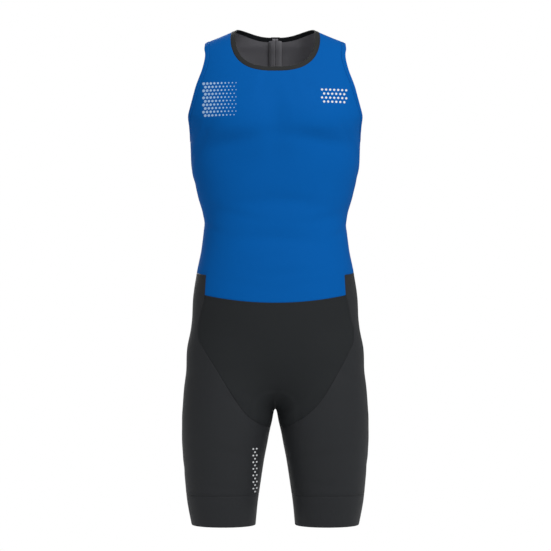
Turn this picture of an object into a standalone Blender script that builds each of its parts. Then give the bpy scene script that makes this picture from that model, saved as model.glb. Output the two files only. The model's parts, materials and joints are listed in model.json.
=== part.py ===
"""Sleeveless one-piece triathlon suit in its worn form, with no wearer in it.

The cloth is a thin wall on one hollow form. The form is worked out from two tables of level
sections, one for the body and one for a leg. Every panel is a grid of points on that form,
given a wall inwards, and kept half a seam gap back from its seams. Lengths in the tables are
millimetres. Front faces -Y, up is +Z, and the origin lies between the two shoulder seams.
"""
import math

import bmesh
import bpy
import numpy as np
from mathutils import Matrix, Vector

MM = 0.001
COLLECTION_NAME = "Skinsuit"

# Cloth sizes.
CLOTH_WALL = 1.2 * MM
BAND_WALL = 1.6 * MM
SEAM_GAP = 0.3 * MM
BINDING_WIDTH = 9.0 * MM
BINDING_RAISE = 0.35 * MM

# Level sections of the body: half width at the side, and depth in front of and behind the
# side seam. A squareness of 2 is an ellipse.
TORSO_COLUMNS = ("height", "half_width", "front", "back", "squareness")
TORSO = (
    (26, 38, 22, 24, 2.0),
    (15, 64, 31, 34, 2.0),
    (0, 99, 41, 42, 2.0),
    (-11, 125, 49, 48, 2.05),
    (-27, 146, 62, 60, 2.1),
    (-60, 157, 84, 80, 2.2),
    (-100, 164, 102, 94, 2.3),
    (-140, 165, 111, 102, 2.35),
    (-165, 157, 113, 104, 2.4),
    (-180, 153.4, 112, 104, 2.4),
    (-230, 151, 105, 99, 2.4),
    (-285, 139.5, 98, 92, 2.35),
    (-333, 128, 95, 89, 2.3),
    (-380, 132.5, 96, 94, 2.3),
    (-423, 141, 98, 102, 2.3),
    (-477, 148.5, 99, 111, 2.3),
    (-527, 150, 96, 117, 2.3),
    (-570, 152, 90, 117, 2.3),
    (-610, 150, 82, 112, 2.3),
    (-680, 146, 76, 100, 2.3),
)
# The body's underside rounds off between these two heights.
UNDERSIDE_START = -548 * MM
UNDERSIDE_END = -655 * MM
UNDERSIDE_SQUARENESS = 3.0

# Level sections of one leg, about a centre that lies off the middle plane.
LEG_COLUMNS = ("height", "centre", "half_width", "front", "back", "squareness")
LEG = (
    (-470, 60, 50, 50, 60, 2.0),
    (-520, 68, 68, 66, 82, 2.1),
    (-560, 76, 77, 78, 98, 2.15),
    (-600, 80, 80, 84, 102, 2.15),
    (-640, 83.5, 81.5, 86, 99, 2.15),
    (-675, 86, 81.5, 86, 93, 2.15),
    (-700, 88.4, 79.6, 85, 90, 2.15),
    (-725, 90.6, 77.4, 83, 87, 2.1),
    (-760, 92.8, 72.8, 79, 83, 2.1),
    (-797, 94.1, 68.4, 74, 79, 2.1),
    (-833, 94.9, 63.9, 68, 73, 2.1),
    (-869, 93.4, 58.8, 62, 67, 2.1),
    (-900, 91, 54, 58, 62, 2.1),
)
LEG_JOIN = 7 * MM
BODY_JOIN = 26 * MM

# Soft troughs of the cloth: middle, slope, half length, half width and depth, on the front
# (side -1) or the back (side 1). A depth below zero is a fullness.
FOLD_COLUMNS = ("side", "across", "height", "slope", "half_length", "half_width", "depth")
FOLDS = (
    (-1, -72, -146, 14, 56, 34, -4.6),
    (-1, 73, -147, -12, 58, 34, -4.2),
    (-1, -76, -194, 10, 58, 16, 4.6),
    (-1, 79, -190, -9, 62, 16, 4.2),
    (-1, 0, -158, 90, 66, 20, 3.2),
    (-1, -26, -301, 4, 62, 15, 2.2),
    (-1, 36, -299, -8, 52, 14, 2.0),
    (-1, -24, -364, 3, 66, 14, 1.9),
    (-1, 38, -369, -4, 54, 14, 1.6),
    (1, 0, -250, 90, 130, 16, 3.0),
    (1, -62, -318, 10, 60, 14, 1.6),
    (1, 60, -322, -9, 64, 14, 1.6),
    (1, -50, -368, -6, 66, 15, 1.6),
    (1, 56, -372, 7, 60, 15, 1.4),
    (1, 0, -600, 90, 55, 20, 3.5),
)

# Neck opening seen from above, an egg shape with full corners.
NECK_HALF_WIDTH = 71.5 * MM
NECK_MIDDLE_Y = -28 * MM
NECK_FRONT = 55.6 * MM
NECK_BACK = 68.2 * MM
NECK_FRONT_SQUARENESS = 2.7
NECK_BACK_SQUARENESS = 2.4

# Armhole opening seen from the side, an oval from the shoulder to under the arm.
ARMHOLE_TOP = -12 * MM
ARMHOLE_BOTTOM = -180 * MM
ARMHOLE_HALF_OPENING = 57 * MM

# Turns round the armhole, in degrees, that are level with the neck seam: front and back.
ARM_FRONT_LEVEL = 106
ARM_BACK_LEVEL = 128

# Rays that find the form start this far out, or this far up over the shoulders.
FAR_OUT = 250 * MM
OVER_SHOULDERS = 60 * MM
DOWN_REACH = 300 * MM

# Seam lines that run across.
STEP_SIDE_HEIGHT = -423 * MM
STEP_CORNER = (123.5 * MM, -428 * MM)
WAIST_CORNER = (125.5 * MM, -464 * MM)
WAIST_MIDDLE_HEIGHT = -477 * MM
BAND_TOP = -821 * MM
HEM_HEIGHT = -877 * MM

# Seam between the shorts front and the leg panels, as seen from the front.
LEG_SEAM_COLUMNS = ("height", "left", "right")
LEG_SEAM = (
    (-464, 125.5, 125.5),
    (-477, 128, 129),
    (-504, 135, 134.6),
    (-527, 138.6, 140.6),
    (-541, 137, 140.5),
    (-565, 124, 131.5),
    (-590, 108, 118),
    (-618, 90.5, 101.5),
    (-646, 73, 84),
    (-664, 60, 68.5),
    (-678, 48, 53),
    (-689, 34, 36.5),
    (-697, 22, 22.5),
)
LEG_SEAM_LOWEST = -702 * MM
LEG_OUTER_LOWEST = -745 * MM
CROTCH_SEAM_Y = 6 * MM

# Rows of the shorts are even down to the first height, then closer at the lowest ones.
EVEN_ROWS_END = -660 * MM
LOWEST_ROWS = np.array([-673, -683, -691, -697]) * MM
TAIL_TURNS = (0.5, 1.0)
LEG_GAP_REACH = 80 * MM

# Middle line of the shorts: straight down to the first height, then an arc to the crotch.
ARC_START = -600 * MM
RISE_STEPS = 14
ARC_STEPS = 24
BELOW_CROTCH = -800 * MM
UP_REACH = 200 * MM

# Zip at the centre back.
ZIP_HALF_GAP = 5.4 * MM
ZIP_END_HEIGHT = -262 * MM
ZIP_TOP_HEIGHT = 2.4 * MM
CHAIN_HALF_WIDTH = 2.6 * MM
CHAIN_RAISE = 0.3 * MM
CHAIN_WALL = 2.0 * MM
TAPE_HALF_WIDTH = 12 * MM
TAPE_WALL = 0.8 * MM
TAPE_DEPTH = 1.0 * MM
ZIP_ROWS = 18
SLIDER_HEIGHT = -13 * MM
SLIDER_SIZE = (8.6 * MM, 11 * MM, 1.4 * MM)
SLIDER_RAISE = 1.25 * MM
PIN_RADIUS = 0.8 * MM
PIN_RAISE = 5.05 * MM
LUG_SIZE = (1.4 * MM, 4.0 * MM)
TAB_SIZE = (4.6 * MM, 24 * MM, 1.2 * MM)
TAB_EYE_RADIUS = 2.0 * MM
GARAGE_HALF_WIDTH = 8 * MM
GARAGE_RANGE = (-5.2 * MM, 3.4 * MM)
GARAGE_RAISE = 2.2 * MM
PIN_ALONG = 2.0 * MM
MOVING_GAP = 0.3 * MM

# Seat pad, inside the shorts: half widths along the crotch, front edge to back edge.
PAD_COLUMNS = ("along", "half_width")
PAD = (
    (0.0, 12),
    (0.05, 28),
    (0.13, 38),
    (0.3, 38),
    (0.48, 35),
    (0.65, 40),
    (0.8, 50),
    (0.93, 44),
    (1.0, 20),
)
PAD_FRONT_HEIGHT = -632 * MM
PAD_BACK_HEIGHT = -575 * MM
PAD_WALL = 5.0 * MM
PAD_EDGE_WALL = 1.4 * MM
PAD_DEPTH = 1.7 * MM
PAD_ROWS = 13
PAD_HALF_COLUMNS = 6

# Grid counts.
FRONT_COLUMNS = 8
STRIP_COLUMNS = 3
LOW_ROWS = 2
SIDE_ROWS = 13
ARM_FRONT_ROWS = (8, 7)
ARM_BACK_ROWS = (9, 7)
BRIEF_ROWS = 12
LEG_RING = 24
LEG_TUBE_ROWS = 5
BAND_ROWS = 3

# Looks of the pieces: colour, roughness, metallic.
LOOKS = {
    "blue": ((0.004, 0.105, 0.420), 0.62, 0.0),
    "black": ((0.021, 0.024, 0.027), 0.66, 0.0),
    "leg_black": ((0.028, 0.030, 0.033), 0.64, 0.0),
    "trim_black": ((0.016, 0.018, 0.019), 0.60, 0.0),
    "pad": ((0.050, 0.052, 0.058), 0.85, 0.0),
    "zip": ((0.020, 0.021, 0.024), 0.38, 0.0),
    "metal": ((0.060, 0.062, 0.066), 0.35, 0.9),
}


def read_table(names, rows):
    """Columns of a table by name, in rising order of height."""
    order = sorted(rows, key=lambda row: row[names.index("height")])
    table = {}
    for i, name in enumerate(names):
        unit = 1.0 if name == "squareness" else MM
        table[name] = np.array([row[i] for row in order], float) * unit
    for name in names[1:]:
        table[name + " slope"] = slopes(table["height"], table[name])
    return table


def slopes(x, y):
    """Slopes of a smooth curve through points that never swings past them."""
    step = np.diff(x)
    rise = np.diff(y) / step
    inner = np.zeros(len(x) - 2)
    same = rise[:-1] * rise[1:] > 0
    inner[same] = 2 * rise[:-1][same] * rise[1:][same] / (rise[:-1][same] + rise[1:][same])
    return np.concatenate([[rise[0]], inner, [rise[-1]]])


def follow(table, name, height):
    """Value of a table's column at any height, in metres."""
    x, y, bend = table["height"], table[name], table[name + " slope"]
    at = np.clip(height, x[0], x[-1])
    i = np.clip(np.searchsorted(x, at) - 1, 0, len(x) - 2)
    width = x[i + 1] - x[i]
    t = (at - x[i]) / width
    start = (1 + 2 * t) * (1 - t) ** 2 * y[i] + t * (1 - t) ** 2 * width * bend[i]
    end = t * t * (3 - 2 * t) * y[i + 1] + t * t * (t - 1) * width * bend[i + 1]
    return start + end


BODY = read_table(TORSO_COLUMNS, TORSO)
THIGH = read_table(LEG_COLUMNS, LEG)
SIDE_SEAM = read_table(LEG_SEAM_COLUMNS, LEG_SEAM)


def soft_min(a, b, blend):
    """The smaller of two distances, with their meeting rounded."""
    near = np.clip(blend - np.abs(a - b), 0, None) / blend
    return np.minimum(a, b) - near * near * blend / 4


def body_distance(p):
    """Rough distance of points from the body's form, negative inside."""
    x, y, z = p[:, 0], p[:, 1], p[:, 2]
    depth = np.where(y < 0, follow(BODY, "front", z), follow(BODY, "back", z))
    power = follow(BODY, "squareness", z)
    below = np.clip(UNDERSIDE_START - z, 0, None)
    low = below / (UNDERSIDE_START - UNDERSIDE_END)
    across = (np.abs(x) / follow(BODY, "half_width", z)) ** power
    full = UNDERSIDE_SQUARENESS
    along = ((np.abs(y) / depth) ** full + low**full) ** (power / full)
    ratio = np.maximum(across + along, 1e-9) ** (1 / power)
    round_about = np.sqrt(x * x + y * y + below * below) * (1 - 1 / ratio)
    return np.maximum(round_about, z - BODY["height"][-1])


def leg_distance(p, side):
    """Rough distance of points from one leg's form."""
    z = p[:, 2]
    x = side * p[:, 0] - follow(THIGH, "centre", z)
    y = p[:, 1]
    depth = np.where(y < 0, follow(THIGH, "front", z), follow(THIGH, "back", z))
    power = follow(THIGH, "squareness", z)
    across = (np.abs(x) / follow(THIGH, "half_width", z)) ** power
    ratio = np.maximum(across + (np.abs(y) / depth) ** power, 1e-9) ** (1 / power)
    return np.maximum(np.hypot(x, y) * (1 - 1 / ratio), z - THIGH["height"][-1])


def form_distance(p):
    """Rough distance of points from the whole form."""
    legs = soft_min(leg_distance(p, -1), leg_distance(p, 1), LEG_JOIN)
    return soft_min(body_distance(p), legs, BODY_JOIN)


def form_slope(p):
    """How the distance changes along each axis."""
    reach = 0.05 * MM
    result = np.zeros_like(p)
    for axis in range(3):
        shift = np.zeros(3)
        shift[axis] = reach
        result[:, axis] = (form_distance(p + shift) - form_distance(p - shift)) / (2 * reach)
    return result


def settle(points, rounds=14):
    """Move points onto the form along its own slope."""
    p = np.array(points, float).reshape(-1, 3)
    for _ in range(rounds):
        slope = form_slope(p)
        square = np.maximum((slope * slope).sum(1), 1e-6)
        move = np.clip(form_distance(p) / square, -12 * MM, 12 * MM)
        p = p - move[:, None] * slope
    return p.reshape(np.shape(points))


def normals(points):
    """Outward directions of the form at points."""
    slope = form_slope(np.array(points, float).reshape(-1, 3))
    slope /= np.linalg.norm(slope, axis=1)[:, None]
    return slope.reshape(np.shape(points))


def relief(p, normal):
    """Depth of the soft troughs at points, as a move along the outward direction."""
    total = np.zeros(len(p))
    for row in FOLDS:
        fold = dict(zip(FOLD_COLUMNS, row))
        turn = math.radians(fold["slope"])
        x = p[:, 0] - fold["across"] * MM
        z = p[:, 2] - fold["height"] * MM
        along = (x * math.cos(turn) + z * math.sin(turn)) / (fold["half_length"] * MM)
        aside = (z * math.cos(turn) - x * math.sin(turn)) / (fold["half_width"] * MM)
        facing = np.clip(1.6 * normal[:, 1] * fold["side"], 0, 1)
        total -= fold["depth"] * MM * facing * np.exp(-(along**2) - aside**2)
    return total


def ring_point(angle, height, side):
    """Point of the body's form at an angle from the middle, front (-1) or back (1)."""
    angle = np.asarray(angle, float)
    height = np.broadcast_to(np.asarray(height, float), angle.shape)
    depth = follow(BODY, "front" if side < 0 else "back", height)
    power = follow(BODY, "squareness", height)
    s, c = np.sin(angle), np.cos(angle)
    reach = (np.abs(s) ** power + np.abs(c) ** power) ** (1 / power)
    wide = follow(BODY, "half_width", height)
    return np.stack([wide * s / reach, side * depth * c / reach, height], axis=-1)


def ring_angle(p, side):
    """Angle from the middle of points that lie on the body's form."""
    depth = follow(BODY, "front" if side < 0 else "back", p[..., 2])
    wide = follow(BODY, "half_width", p[..., 2])
    return np.arctan2(p[..., 0] / wide, np.maximum(side * p[..., 1], 0) / depth)


def front_view_point(x, z, side):
    """Point of the body's form at a place in the front view."""
    x, z = np.broadcast_arrays(np.asarray(x, float), np.asarray(z, float))
    depth = follow(BODY, "front" if side < 0 else "back", z)
    power = follow(BODY, "squareness", z)
    share = np.clip(np.abs(x) / follow(BODY, "half_width", z), 0, 1) ** power
    return np.stack([x, side * depth * (1 - share) ** (1 / power), z], axis=-1)


def cast(start, direction, reach):
    """First points of the form met on lines that come in from outside."""
    start = np.array(start, float)
    direction = np.array(direction, float)
    near = np.zeros(len(start))
    far = np.full(len(start), 1.0) * reach
    for _ in range(40):
        middle = (near + far) / 2
        outside = form_distance(start + direction * middle[:, None]) > 0
        near = np.where(outside, middle, near)
        far = np.where(outside, far, middle)
    return start + direction * far[:, None]


def neck_edge(turn):
    """Free edge of the neck, from the middle front (0) to the middle back (pi)."""
    turn = np.asarray(turn, float)
    s, c = np.sin(turn), np.cos(turn)
    reach = np.where(c > 0, NECK_FRONT, NECK_BACK)
    power = np.where(c > 0, NECK_FRONT_SQUARENESS, NECK_BACK_SQUARENESS)
    round_off = (np.abs(s) ** power + np.abs(c) ** power) ** (1 / power)
    x = NECK_HALF_WIDTH * s / round_off
    y = NECK_MIDDLE_Y - reach * c / round_off
    top = np.stack([x, y, np.full_like(x, OVER_SHOULDERS)], axis=-1)
    return cast(top, np.tile([0.0, 0.0, -1.0], (len(x), 1)), DOWN_REACH)


def armhole_edge(turn):
    """Free edge of the armhole, from under the arm (0) by the front to the shoulder (pi)."""
    turn = np.asarray(turn, float)
    middle = (ARMHOLE_TOP + ARMHOLE_BOTTOM) / 2
    half = (ARMHOLE_TOP - ARMHOLE_BOTTOM) / 2
    z = middle - half * np.cos(turn)
    y = -ARMHOLE_HALF_OPENING * np.sin(turn)
    out = np.stack([np.full_like(z, FAR_OUT), y, z], axis=-1)
    return cast(out, np.tile([-1.0, 0.0, 0.0], (len(z), 1)), FAR_OUT)


def beside(edge, turns, distance):
    """Points of the form at a distance beside an edge, measured along the form."""
    reach = 1e-3
    here = edge(turns)
    along = edge(turns + reach) - edge(turns - reach)
    along /= np.linalg.norm(along, axis=1)[:, None]
    steps = 4
    for _ in range(steps):
        away = np.cross(along, normals(here))
        away /= np.linalg.norm(away, axis=1)[:, None]
        here = settle(here + away * distance / steps)
    return here


def find_turn(edge, distance, low, high, value, axis):
    """Turn at which the line beside an edge crosses a plane."""
    turns = np.linspace(low, high, 400)
    reach = beside(edge, turns, distance)[:, axis] - value
    i = int(np.argmax(reach[:-1] * reach[1:] <= 0))
    return turns[i] + (turns[i + 1] - turns[i]) * reach[i] / (reach[i] - reach[i + 1])


def lower_neck(turns):
    """Seam line under the neck binding."""
    return beside(neck_edge, turns, BINDING_WIDTH)


def lower_armhole(turns):
    """Seam line round the armhole binding."""
    return beside(armhole_edge, turns, -BINDING_WIDTH)


class Seams:
    """Points that panels share along their seams, for the viewer's right side."""

    def __init__(self):
        ridge = find_turn(neck_edge, BINDING_WIDTH, 0.5, 3.0, 0.0, 1)
        slit = find_turn(neck_edge, BINDING_WIDTH, 2.0, math.pi, ZIP_HALF_GAP, 0)
        self.neck_front_turns = np.linspace(0.0, ridge, ARM_FRONT_ROWS[1] + 1)
        self.neck_back_turns = np.linspace(ridge, slit, ARM_BACK_ROWS[1] + 1)
        level = math.radians(ARM_FRONT_LEVEL)
        low = np.linspace(0.0, level, ARM_FRONT_ROWS[0] + 1)
        high = np.linspace(level, math.pi, ARM_FRONT_ROWS[1] + 1)
        self.arm_front_turns = np.concatenate([low, high[1:]])
        level = math.radians(ARM_BACK_LEVEL)
        low = np.linspace(0.0, level, ARM_BACK_ROWS[0] + 1)
        high = np.linspace(level, math.pi, ARM_BACK_ROWS[1] + 1)
        self.arm_back_turns = -np.concatenate([low, high[1:]])
        self.neck_front = lower_neck(self.neck_front_turns)
        self.neck_back = lower_neck(self.neck_back_turns)
        self.arm_front = lower_armhole(self.arm_front_turns)
        self.arm_back = lower_armhole(self.arm_back_turns)
        under_arm = self.arm_front[0, 2]
        self.side_heights = np.linspace(STEP_SIDE_HEIGHT, under_arm, SIDE_ROWS + 1)


def zip_half_gap(height):
    """Half of the slit at the centre back: open beside the zip, closed below it."""
    share = np.clip((height - ZIP_END_HEIGHT) / (9 * MM), 0, 1)
    return ZIP_HALF_GAP * share


def blend_rows(left, right, shares, side):
    """Rows of points on the body's form from one edge to another."""
    a, b = ring_angle(left, side), ring_angle(right, side)
    angle = a[:, None] + (b - a)[:, None] * shares[None, :]
    height = left[:, 2][:, None] + (right[:, 2] - left[:, 2])[:, None] * shares[None, :]
    return ring_point(angle, height, side)


def waist_height(x):
    """Height of the waist seam at a distance from the middle."""
    rise = WAIST_CORNER[1] - WAIST_MIDDLE_HEIGHT
    return WAIST_MIDDLE_HEIGHT + rise * (np.asarray(x) / WAIST_CORNER[0]) ** 2


def bodice_shares():
    """Places of the columns across a bodice panel, from the middle to the side seam."""
    corner = front_view_point(*STEP_CORNER, -1)
    notch = float(ring_angle(corner, -1)) / (math.pi / 2)
    inner = np.linspace(0, notch, FRONT_COLUMNS + 1)
    outer = np.linspace(notch, 1, STRIP_COLUMNS + 1)
    return np.concatenate([inner, outer[1:]])


def waist_row(side):
    """Points of the waist seam from the middle to the corner below the side step."""
    corner = front_view_point(*WAIST_CORNER, side)
    share = np.linspace(0, 1, FRONT_COLUMNS + 1)
    angle = float(ring_angle(corner, side)) * share
    flat = ring_point(angle, WAIST_MIDDLE_HEIGHT, side)
    x = flat[:, 0] * WAIST_CORNER[0] / flat[-1, 0]
    return front_view_point(x, waist_height(x), side)


def bodice_half(seams, side):
    """Grid of one half of the bodice, on the viewer's right, and the rows it starts at.

    Rows run from the waist seam up to the shoulder line. The lowest rows stop at the corner
    where the side strip of the leg panel steps up.
    """
    shares = bodice_shares()
    rows = ARM_FRONT_ROWS if side < 0 else ARM_BACK_ROWS
    neck = seams.neck_front if side < 0 else seams.neck_back[::-1]
    arm = seams.arm_front if side < 0 else seams.arm_back
    neck_low = neck[0, 2]
    under_arm = seams.side_heights[-1]
    heights = np.concatenate([
        np.linspace(STEP_CORNER[1], under_arm - 6 * MM, SIDE_ROWS + 1),
        np.linspace(under_arm - 6 * MM, neck_low, rows[0] + 1)[1:],
    ])
    middle_x = zip_half_gap(heights) if side > 0 else np.zeros_like(heights)
    middle = front_view_point(middle_x, heights, side)
    left = np.concatenate([middle[:-1], neck])
    seam = ring_point(np.full_like(seams.side_heights, math.pi / 2), seams.side_heights, side)
    right = np.concatenate([seam[:-1], arm])
    upper = blend_rows(left, right, shares, side)
    notch = FRONT_COLUMNS
    upper[0, :notch, 2] = STEP_CORNER[1]
    rise = np.linspace(0, 1, STRIP_COLUMNS + 1)
    upper[0, notch:, 2] = STEP_CORNER[1] + (STEP_SIDE_HEIGHT - STEP_CORNER[1]) * rise
    upper[0] = ring_point(shares * math.pi / 2, upper[0, :, 2], side)
    waist = waist_row(side)
    share = np.linspace(0, 1, LOW_ROWS + 1)[:-1]
    low = []
    for t in share:
        height = waist[:, 2] + (STEP_CORNER[1] - waist[:, 2]) * t
        x = waist[:, 0] + (upper[0, : notch + 1, 0] - waist[:, 0]) * t
        low.append(front_view_point(x, height, side))
    return np.array(low), upper


class Sheet:
    """Points and faces of a panel, all on the outer side of the cloth."""

    def __init__(self):
        self.points = []
        self.faces = []

    def add_grid(self, grid, closed=False):
        """Add a grid of points and its faces, turned to face outwards."""
        rows, columns = grid.shape[:2]
        start = len(self.points)
        self.points.extend(grid.reshape(-1, 3))
        for i in range(rows - 1):
            for j in range(columns if closed else columns - 1):
                k = (j + 1) % columns
                face = [i * columns + j, i * columns + k]
                face += [(i + 1) * columns + k, (i + 1) * columns + j]
                self.faces.append([start + v for v in face])
        spot = grid[rows // 2, columns // 2 - 1]
        across = grid[rows // 2, columns // 2] - spot
        up = grid[rows // 2 - 1, columns // 2 - 1] - spot
        if np.cross(across, up) @ normals(spot) > 0:
            count = (rows - 1) * (columns if closed else columns - 1)
            self.faces[-count:] = [face[::-1] for face in self.faces[-count:]]

    def weld(self, reach=1e-6):
        """Join points that lie in the same place."""
        points = np.array(self.points)
        keys = {}
        first = np.zeros(len(points), int)
        kept = []
        for i, p in enumerate(points):
            key = tuple(np.round(p / reach / 10).astype(int))
            if key not in keys:
                keys[key] = len(kept)
                kept.append(p)
            first[i] = keys[key]
        faces = []
        for face in self.faces:
            ids = [int(first[v]) for v in face]
            ids = [v for n, v in enumerate(ids) if v != ids[n - 1]]
            if len(ids) > 2:
                faces.append(ids)
        self.points, self.faces = kept, faces
        return self


def open_edges(faces):
    """Edges that belong to one face only, in that face's direction."""
    seen = {}
    for face in faces:
        for a, b in zip(face, face[1:] + face[:1]):
            seen.setdefault((min(a, b), max(a, b)), []).append((a, b))
    return [found[0] for found in seen.values() if len(found) == 1]


def pull_back(points, faces, outward, gap):
    """Keep the open edges half a seam gap back from the seam line, along the cloth."""
    inward = {}
    for a, b in open_edges(faces):
        along = points[b] - points[a]
        along /= np.linalg.norm(along)
        for v in (a, b):
            side = np.cross(outward[v], along)
            inward.setdefault(v, []).append(side / np.linalg.norm(side))
    moved = points.copy()
    for v, sides in inward.items():
        total = np.sum(sides, axis=0)
        total /= max(np.linalg.norm(total), 1e-9)
        reach = max(0.5, float(total @ sides[0]))
        moved[v] = points[v] + total * gap / 2 / reach
    return moved


def wall_mesh(name, sheet, wall=CLOTH_WALL, lift=0.0, gap=SEAM_GAP, folds=True):
    """Mesh of a panel: outer side, inner side one wall in, and the cut edge between them."""
    points = np.array(sheet.points)
    outward = normals(points)
    points = pull_back(points, sheet.faces, outward, gap)
    lift = np.broadcast_to(np.asarray(lift, float), len(points))
    wall = np.broadcast_to(np.asarray(wall, float), len(points))
    shape = relief(points, outward) if folds else 0.0
    outer = points + outward * (lift + shape)[:, None]
    inner = outer - outward * wall[:, None]
    count = len(points)
    faces = [list(f) for f in sheet.faces]
    faces += [[v + count for v in f[::-1]] for f in sheet.faces]
    faces += [[b, a, a + count, b + count] for a, b in open_edges(sheet.faces)]
    mesh = bpy.data.meshes.new(name)
    mesh.from_pydata([tuple(p) for p in np.concatenate([outer, inner])], [], faces)
    mesh.validate()
    return mesh


def look(key):
    """Material of a piece."""
    name = f"{COLLECTION_NAME} {key}"
    found = bpy.data.materials.get(name)
    if found:
        return found
    colour, roughness, metallic = LOOKS[key]
    material = bpy.data.materials.new(name)
    material.use_nodes = True
    shader = material.node_tree.nodes["Principled BSDF"]
    shader.inputs["Base Color"].default_value = (*colour, 1.0)
    shader.inputs["Roughness"].default_value = roughness
    shader.inputs["Metallic"].default_value = metallic
    material.diffuse_color = (*colour, 1.0)
    return material


def place(name, mesh, key, smooth=True):
    """Make a named object of a mesh and put it in the suit's collection."""
    material = look(key).copy()
    material.name = name
    mesh.materials.append(material)
    for face in mesh.polygons:
        face.use_smooth = smooth
    obj = bpy.data.objects.new(name, mesh)
    bpy.data.collections[COLLECTION_NAME].objects.link(obj)
    return obj


def mirrored(grid):
    """The same grid on the viewer's left."""
    return grid * np.array([-1.0, 1.0, 1.0])


def make_bodice(seams):
    """Front panel in one piece and back panel in two, which meet at the centre back."""
    low, upper = bodice_half(seams, -1)
    front = Sheet()
    front.add_grid(low_with_step(low, upper))
    front.add_grid(upper)
    front.add_grid(mirrored(low_with_step(low, upper)))
    front.add_grid(mirrored(upper))
    place("front_body", wall_mesh("front_body", front.weld()), "blue")
    low, upper = bodice_half(seams, 1)
    right = Sheet()
    right.add_grid(low_with_step(low, upper))
    right.add_grid(upper)
    place("back_right", wall_mesh("back_right", right.weld()), "blue")
    left = Sheet()
    left.add_grid(mirrored(low_with_step(low, upper)))
    left.add_grid(mirrored(upper))
    place("back_left", wall_mesh("back_left", left.weld()), "blue")


def low_with_step(low, upper):
    """The rows below the side step, up to and with the row at the step."""
    return np.concatenate([low, upper[:1, : FRONT_COLUMNS + 1]])


def make_binding(name, free, lower, key, closed):
    """A folded strip from a panel's edge to the free edge, thicker than the cloth."""
    shares = np.array([0.0, 0.16, 0.84, 1.0])
    grid = lower[:, None] + (free - lower)[:, None] * shares[None, :, None]
    grid = settle(grid)
    sheet = Sheet()
    sheet.add_grid(grid.transpose(1, 0, 2), closed=closed)
    lifts = np.array([0.0, 1.0, 1.0, -0.2]) * BINDING_RAISE
    lift = np.repeat(lifts, len(free))
    wall = CLOTH_WALL + 2 * lift
    mesh = wall_mesh(name, sheet, wall=wall, lift=lift)
    return place(name, mesh, key)


def make_bindings(seams):
    """Neck binding, open at the zip, and the two armhole bindings."""
    turns = np.concatenate([seams.neck_front_turns, seams.neck_back_turns[1:]])
    lower = np.concatenate([seams.neck_front, seams.neck_back[1:]])
    free = neck_edge(turns)
    free[-1, 0] = ZIP_HALF_GAP
    free[-1] = settle(free[-1:])[0]
    lower = np.concatenate([mirrored(lower[1:])[::-1], lower])
    free = np.concatenate([mirrored(free[1:])[::-1], free])
    make_binding("neck_binding", free, lower, "trim_black", False)
    turns = np.concatenate([seams.arm_front_turns, seams.arm_back_turns[1:-1][::-1]])
    lower = np.concatenate([seams.arm_front, seams.arm_back[1:-1][::-1]])
    free = armhole_edge(turns)
    make_binding("armhole_binding_right", free[::-1], lower[::-1], "blue", True)
    make_binding("armhole_binding_left", mirrored(free), mirrored(lower), "blue", True)


def leg_seam_point(height, side_name, side):
    """Point of the seam between shorts and leg, front (-1) or back (1), at given heights."""
    x = follow(SIDE_SEAM, side_name, height)
    sign = 1.0 if side_name == "right" else -1.0
    start = np.stack([sign * x, np.full_like(x, side * FAR_OUT), height], axis=-1)
    return cast(start, np.tile([0.0, -side, 0.0], (len(x), 1)), FAR_OUT)


def seam_levels():
    """Heights of the rows that the shorts and the leg panels share, from the waist down."""
    upper = np.linspace(WAIST_CORNER[1], EVEN_ROWS_END, BRIEF_ROWS + 1)
    return np.concatenate([upper, LOWEST_ROWS])


def inner_point(height, sign, y):
    """Point on the inner side of a leg, seen from the gap between the legs."""
    start = np.array([[0.0, y, height]])
    return cast(start, np.array([[sign, 0.0, 0.0]]), LEG_GAP_REACH)


def seam_loop(side_name, side):
    """One half of the leg seam: rows from the waist corner to the inner side of the thigh."""
    sign = 1.0 if side_name == "right" else -1.0
    levels = seam_levels()
    points = leg_seam_point(levels, side_name, side)
    start = points[-1]
    tail = []
    for t in TAIL_TURNS:
        y = start[1] + (CROTCH_SEAM_Y - start[1]) * math.sin(t * math.pi / 2)
        z = LEG_SEAM_LOWEST + (start[2] - LEG_SEAM_LOWEST) * (1 - t) ** 2
        tail.append(inner_point(z, sign, y)[0])
    return np.concatenate([points, np.array(tail)])


def rise_line(side, count):
    """Middle line of the shorts, from the waist seam to the crotch seam."""
    heights = np.linspace(WAIST_MIDDLE_HEIGHT, ARC_START, RISE_STEPS)
    start = np.stack([0 * heights, 0 * heights + side * FAR_OUT, heights], axis=-1)
    upper = cast(start, np.tile([0.0, -side, 0.0], (len(heights), 1)), FAR_OUT)
    last = upper[-1]
    base = np.array([[0.0, CROTCH_SEAM_Y, BELOW_CROTCH]])
    low = cast(base, np.array([[0.0, 0.0, 1.0]]), UP_REACH)[0]
    hub = np.array([0.0, CROTCH_SEAM_Y, last[2]])
    arc = []
    for t in np.linspace(0, math.pi / 2, ARC_STEPS)[1:-1]:
        way = np.array([0.0, side * math.cos(t), -math.sin(t)])
        arc.append(cast(hub[None] + way * FAR_OUT, -way[None], FAR_OUT)[0])
    line = np.concatenate([upper, np.array(arc), low[None]])
    return resample(line, count)


def resample(line, count):
    """Points at even steps along a line."""
    step = np.linalg.norm(np.diff(line, axis=0), axis=1)
    along = np.concatenate([[0], np.cumsum(step)])
    at = np.linspace(0, along[-1], count)
    return np.stack([np.interp(at, along, line[:, i]) for i in range(3)], axis=-1)


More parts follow.
